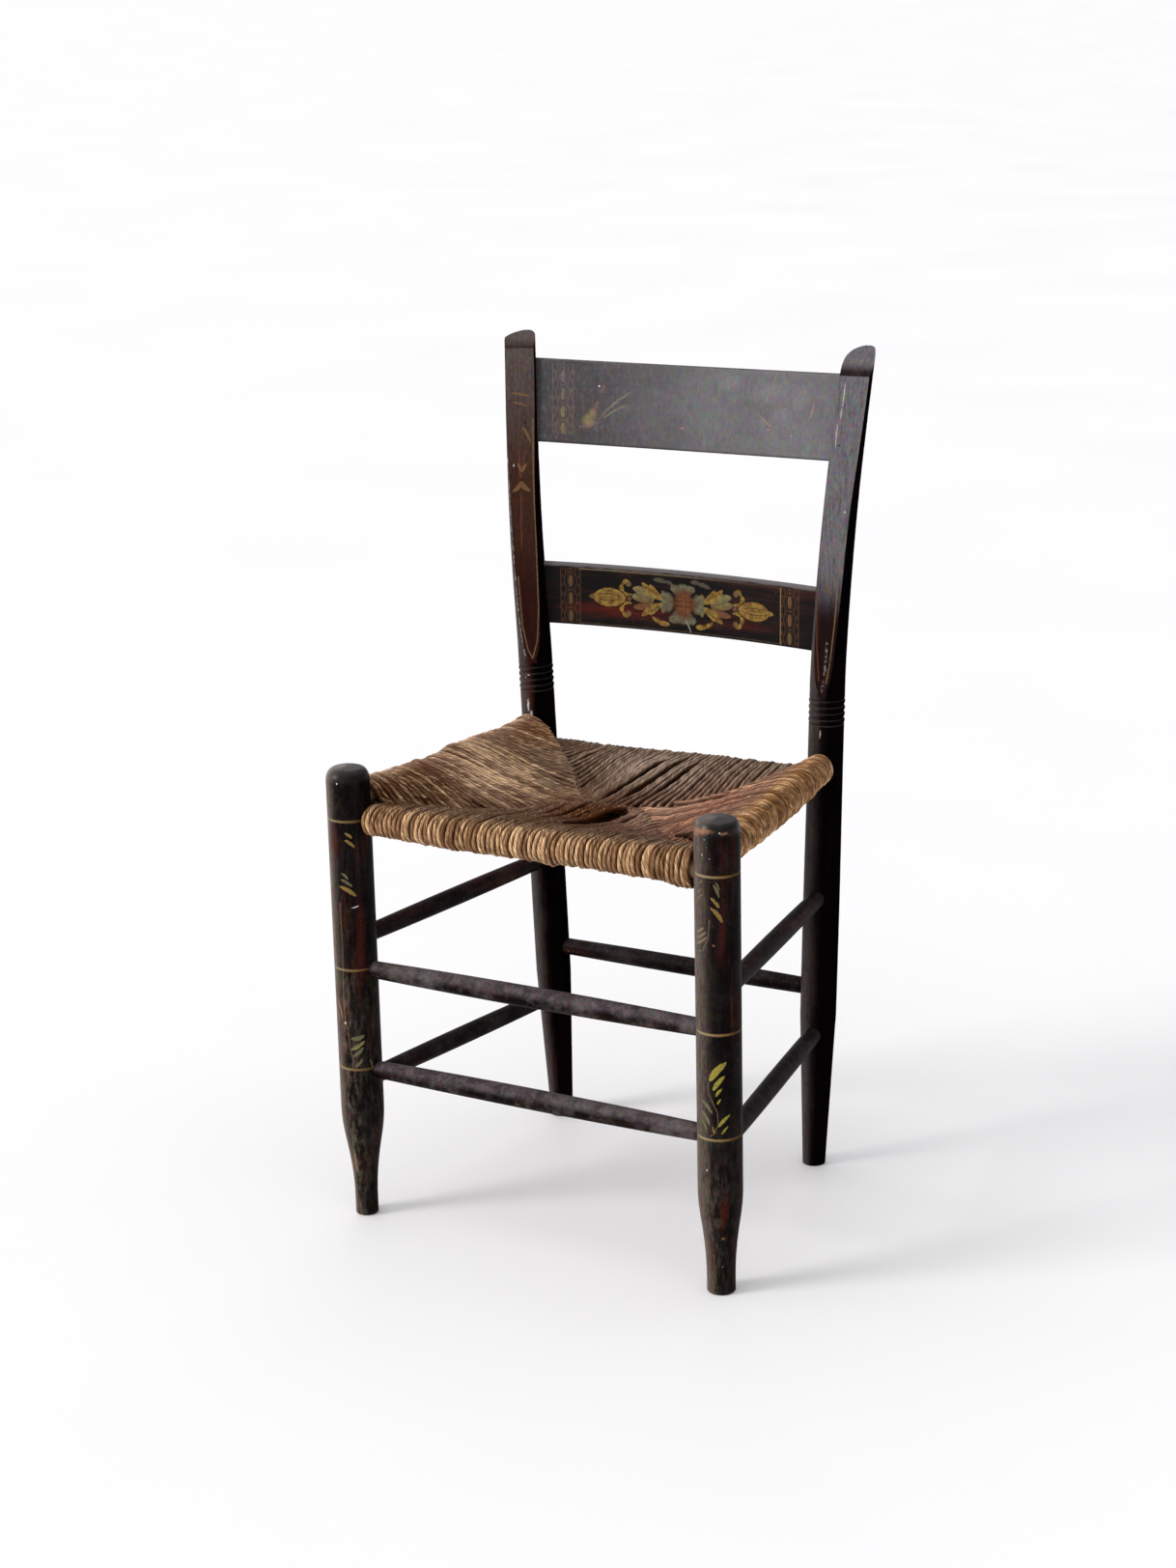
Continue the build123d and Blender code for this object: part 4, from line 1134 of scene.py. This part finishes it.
def rush_finish(name, glint, roll, roll_glint, glint_low, blotched=0, packed=None):
    """Leaf in the faded colours of the seat's top, and round the rail in those of the roll,
    a dark and a light tone. Packed gives two darker tones that are used in place of the faded ones.
    A blotched roll has dark red-brown patches on its shoulder."""
    material, shader, place = new_material(name)
    spot = place["Object"]
    shade = add("Attribute", attribute_name="leaf_shade").outputs["Fac"]
    reach = add("Attribute", attribute_name="leaf_reach").outputs["Fac"]
    fibre = use(leaf_fibre, Leaf=place["UV"], Shade=shade, Twist=24)
    tone = ramp(plus(fibre["Streak"], times(shade, 0.14)), 0.42, 0.78)
    on_roll = ramp(calc("ABSOLUTE", reach), 0.04, 0.018)
    fading = use(seat_fading, Point=spot)
    upper = coat(*(packed or (fading["Dark"], fading["Light"])), tone)
    colour = coat(upper, coat(*roll, tone), on_roll)
    lively = most(fading["Lively"], on_roll)
    bright = plus(fibre["Fleck"], calc("MULTIPLY_ADD", noise(spot, 26, 3), 0.15, 0.05),
                  times(shade, 0.17), times(lively, 0.11))
    bright = ramp(bright, glint_low, glint_low + 0.1)
    colour = coat(colour, coat(glint, roll_glint, on_roll), bright)
    if blotched:
        shoulder = times(ramp(reach, -0.01, 0.002), ramp(reach, 0.024, 0.012))
        blotch = ramp(plus(noise(spot, 75, 3), times(shade, 0.2)), 0.5, 0.66)
        colour = coat(colour, (0.06, 0.018, 0.007), blotch, shoulder, blotched)
    # Painted shade: each cord's flanks, against its neighbours, darkened red-brown.
    colour = coat(colour, (0.05, 0.015, 0.006), calc("POWER", fibre["Side"], 2), 0.88)
    feed(shader.inputs, Base_Color=colour, Roughness=ramp(fibre["Streak"], 0.3, 0.7, 0.42, 0.62),
         Specular_IOR_Level=times(lively, 0.1), Normal=relief(fibre["Height"], 0.7, 0.0006))
    return material


rush_finishes = {
    "front": rush_finish("rush_front", (0.4, 0.255, 0.135),
                         ((0.115, 0.05, 0.018), (0.37, 0.202, 0.094)), (0.86, 0.56, 0.31), 0.87),
    "back": rush_finish("rush_back", (0.42, 0.29, 0.19),
                        ((0.115, 0.072, 0.045), (0.3, 0.212, 0.145)), (0.42, 0.3, 0.19), 0.9),
    "left": rush_finish("rush_left", (0.85, 0.56, 0.31),
                        ((0.18, 0.092, 0.05), (0.38, 0.23, 0.145)), (0.8, 0.56, 0.36), 0.84),
    "right": rush_finish("rush_right", (0.7, 0.37, 0.22),
                         ((0.2, 0.084, 0.02), (0.52, 0.27, 0.11)), (0.86, 0.56, 0.3), 0.86, 0.65),
}
for zone in ("front", "back", "left", "right"):
    woven = leaf_mesh("woven_rush_" + zone, *weave(zone))
    woven.data.materials.append(rush_finishes[zone])
    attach(woven, "root")
    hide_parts("rush_" + zone)


# STUFFING
# Broken rush leaves pushed between the two woven layers to fill out the pockets. They lie
# crumpled and loose, and show only through slits in the weave.
leaf_sides, leaves_in_pocket = 6, 26
layer_clearance, rail_clearance = 0.0062, 0.0205


def stuffing_leaves(zone):
    """Crumpled leaves that wander about in the hollow between the layers."""
    tubes = [[] for _ in range(5)]
    turns = np.arange(leaf_sides) * tau / leaf_sides
    first, last = zones[zone]["first"] + 0.018, zones[zone]["last"] - 0.018
    for step in np.linspace(first, last, leaves_in_pocket):
        seam = seam_distance(zone, step) - 0.004
        if seam < 0.032:
            continue
        rail, way = rail_place(zone, step)
        beside = np.array([-way[1], way[0]])
        inward = np.arange(rail_clearance, seam, row_gap)
        top = level(zone, "top", inward) - layer_clearance
        under = level(zone, "under", inward) + layer_clearance
        share = 0.5 + 0.3 * np.sin(inward / 0.022 + random.uniform(0, tau))
        heights = under + (top - under) * share
        half = np.minimum(0.0052, np.maximum((top - under) * 0.42, 0.0008))
        aside = 0.003 * np.sin(inward / 0.03 + random.uniform(0, tau))
        twist = inward / 0.03 + random.uniform(0, tau)
        angles = turns[None, :] + twist[:, None]
        out = np.cos(angles) * half[:, None] * (1 + 0.25 * np.cos(3 * turns))[None, :]
        rise = np.sin(angles) * half[:, None] * 0.6
        room = np.minimum(top - heights, heights - under)[:, None] * 0.95
        rise = np.clip(rise, -np.abs(room), np.abs(room))
        plan = rail + way * inward[:, None, None] + beside * (out + aside[:, None])[..., None]
        add_tube(tubes, plan, heights[:, None] + rise, inward, inward, random.uniform(0, 1))
    return [np.concatenate(part) for part in tubes]


packed_leaf = ((0.016, 0.005, 0.003), (0.055, 0.022, 0.01))
packed_glint = (0.16, 0.085, 0.04)
stuffing_finish = rush_finish("stuffing_leaf", packed_glint, packed_leaf, packed_glint, 1.05,
                              packed=packed_leaf)
for zone in ("front", "back", "left", "right"):
    stuffing = leaf_mesh("loose_leaves_" + zone, *stuffing_leaves(zone))
    stuffing.data.materials.append(stuffing_finish)
    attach(stuffing, "root")
    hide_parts("stuffing_" + zone)
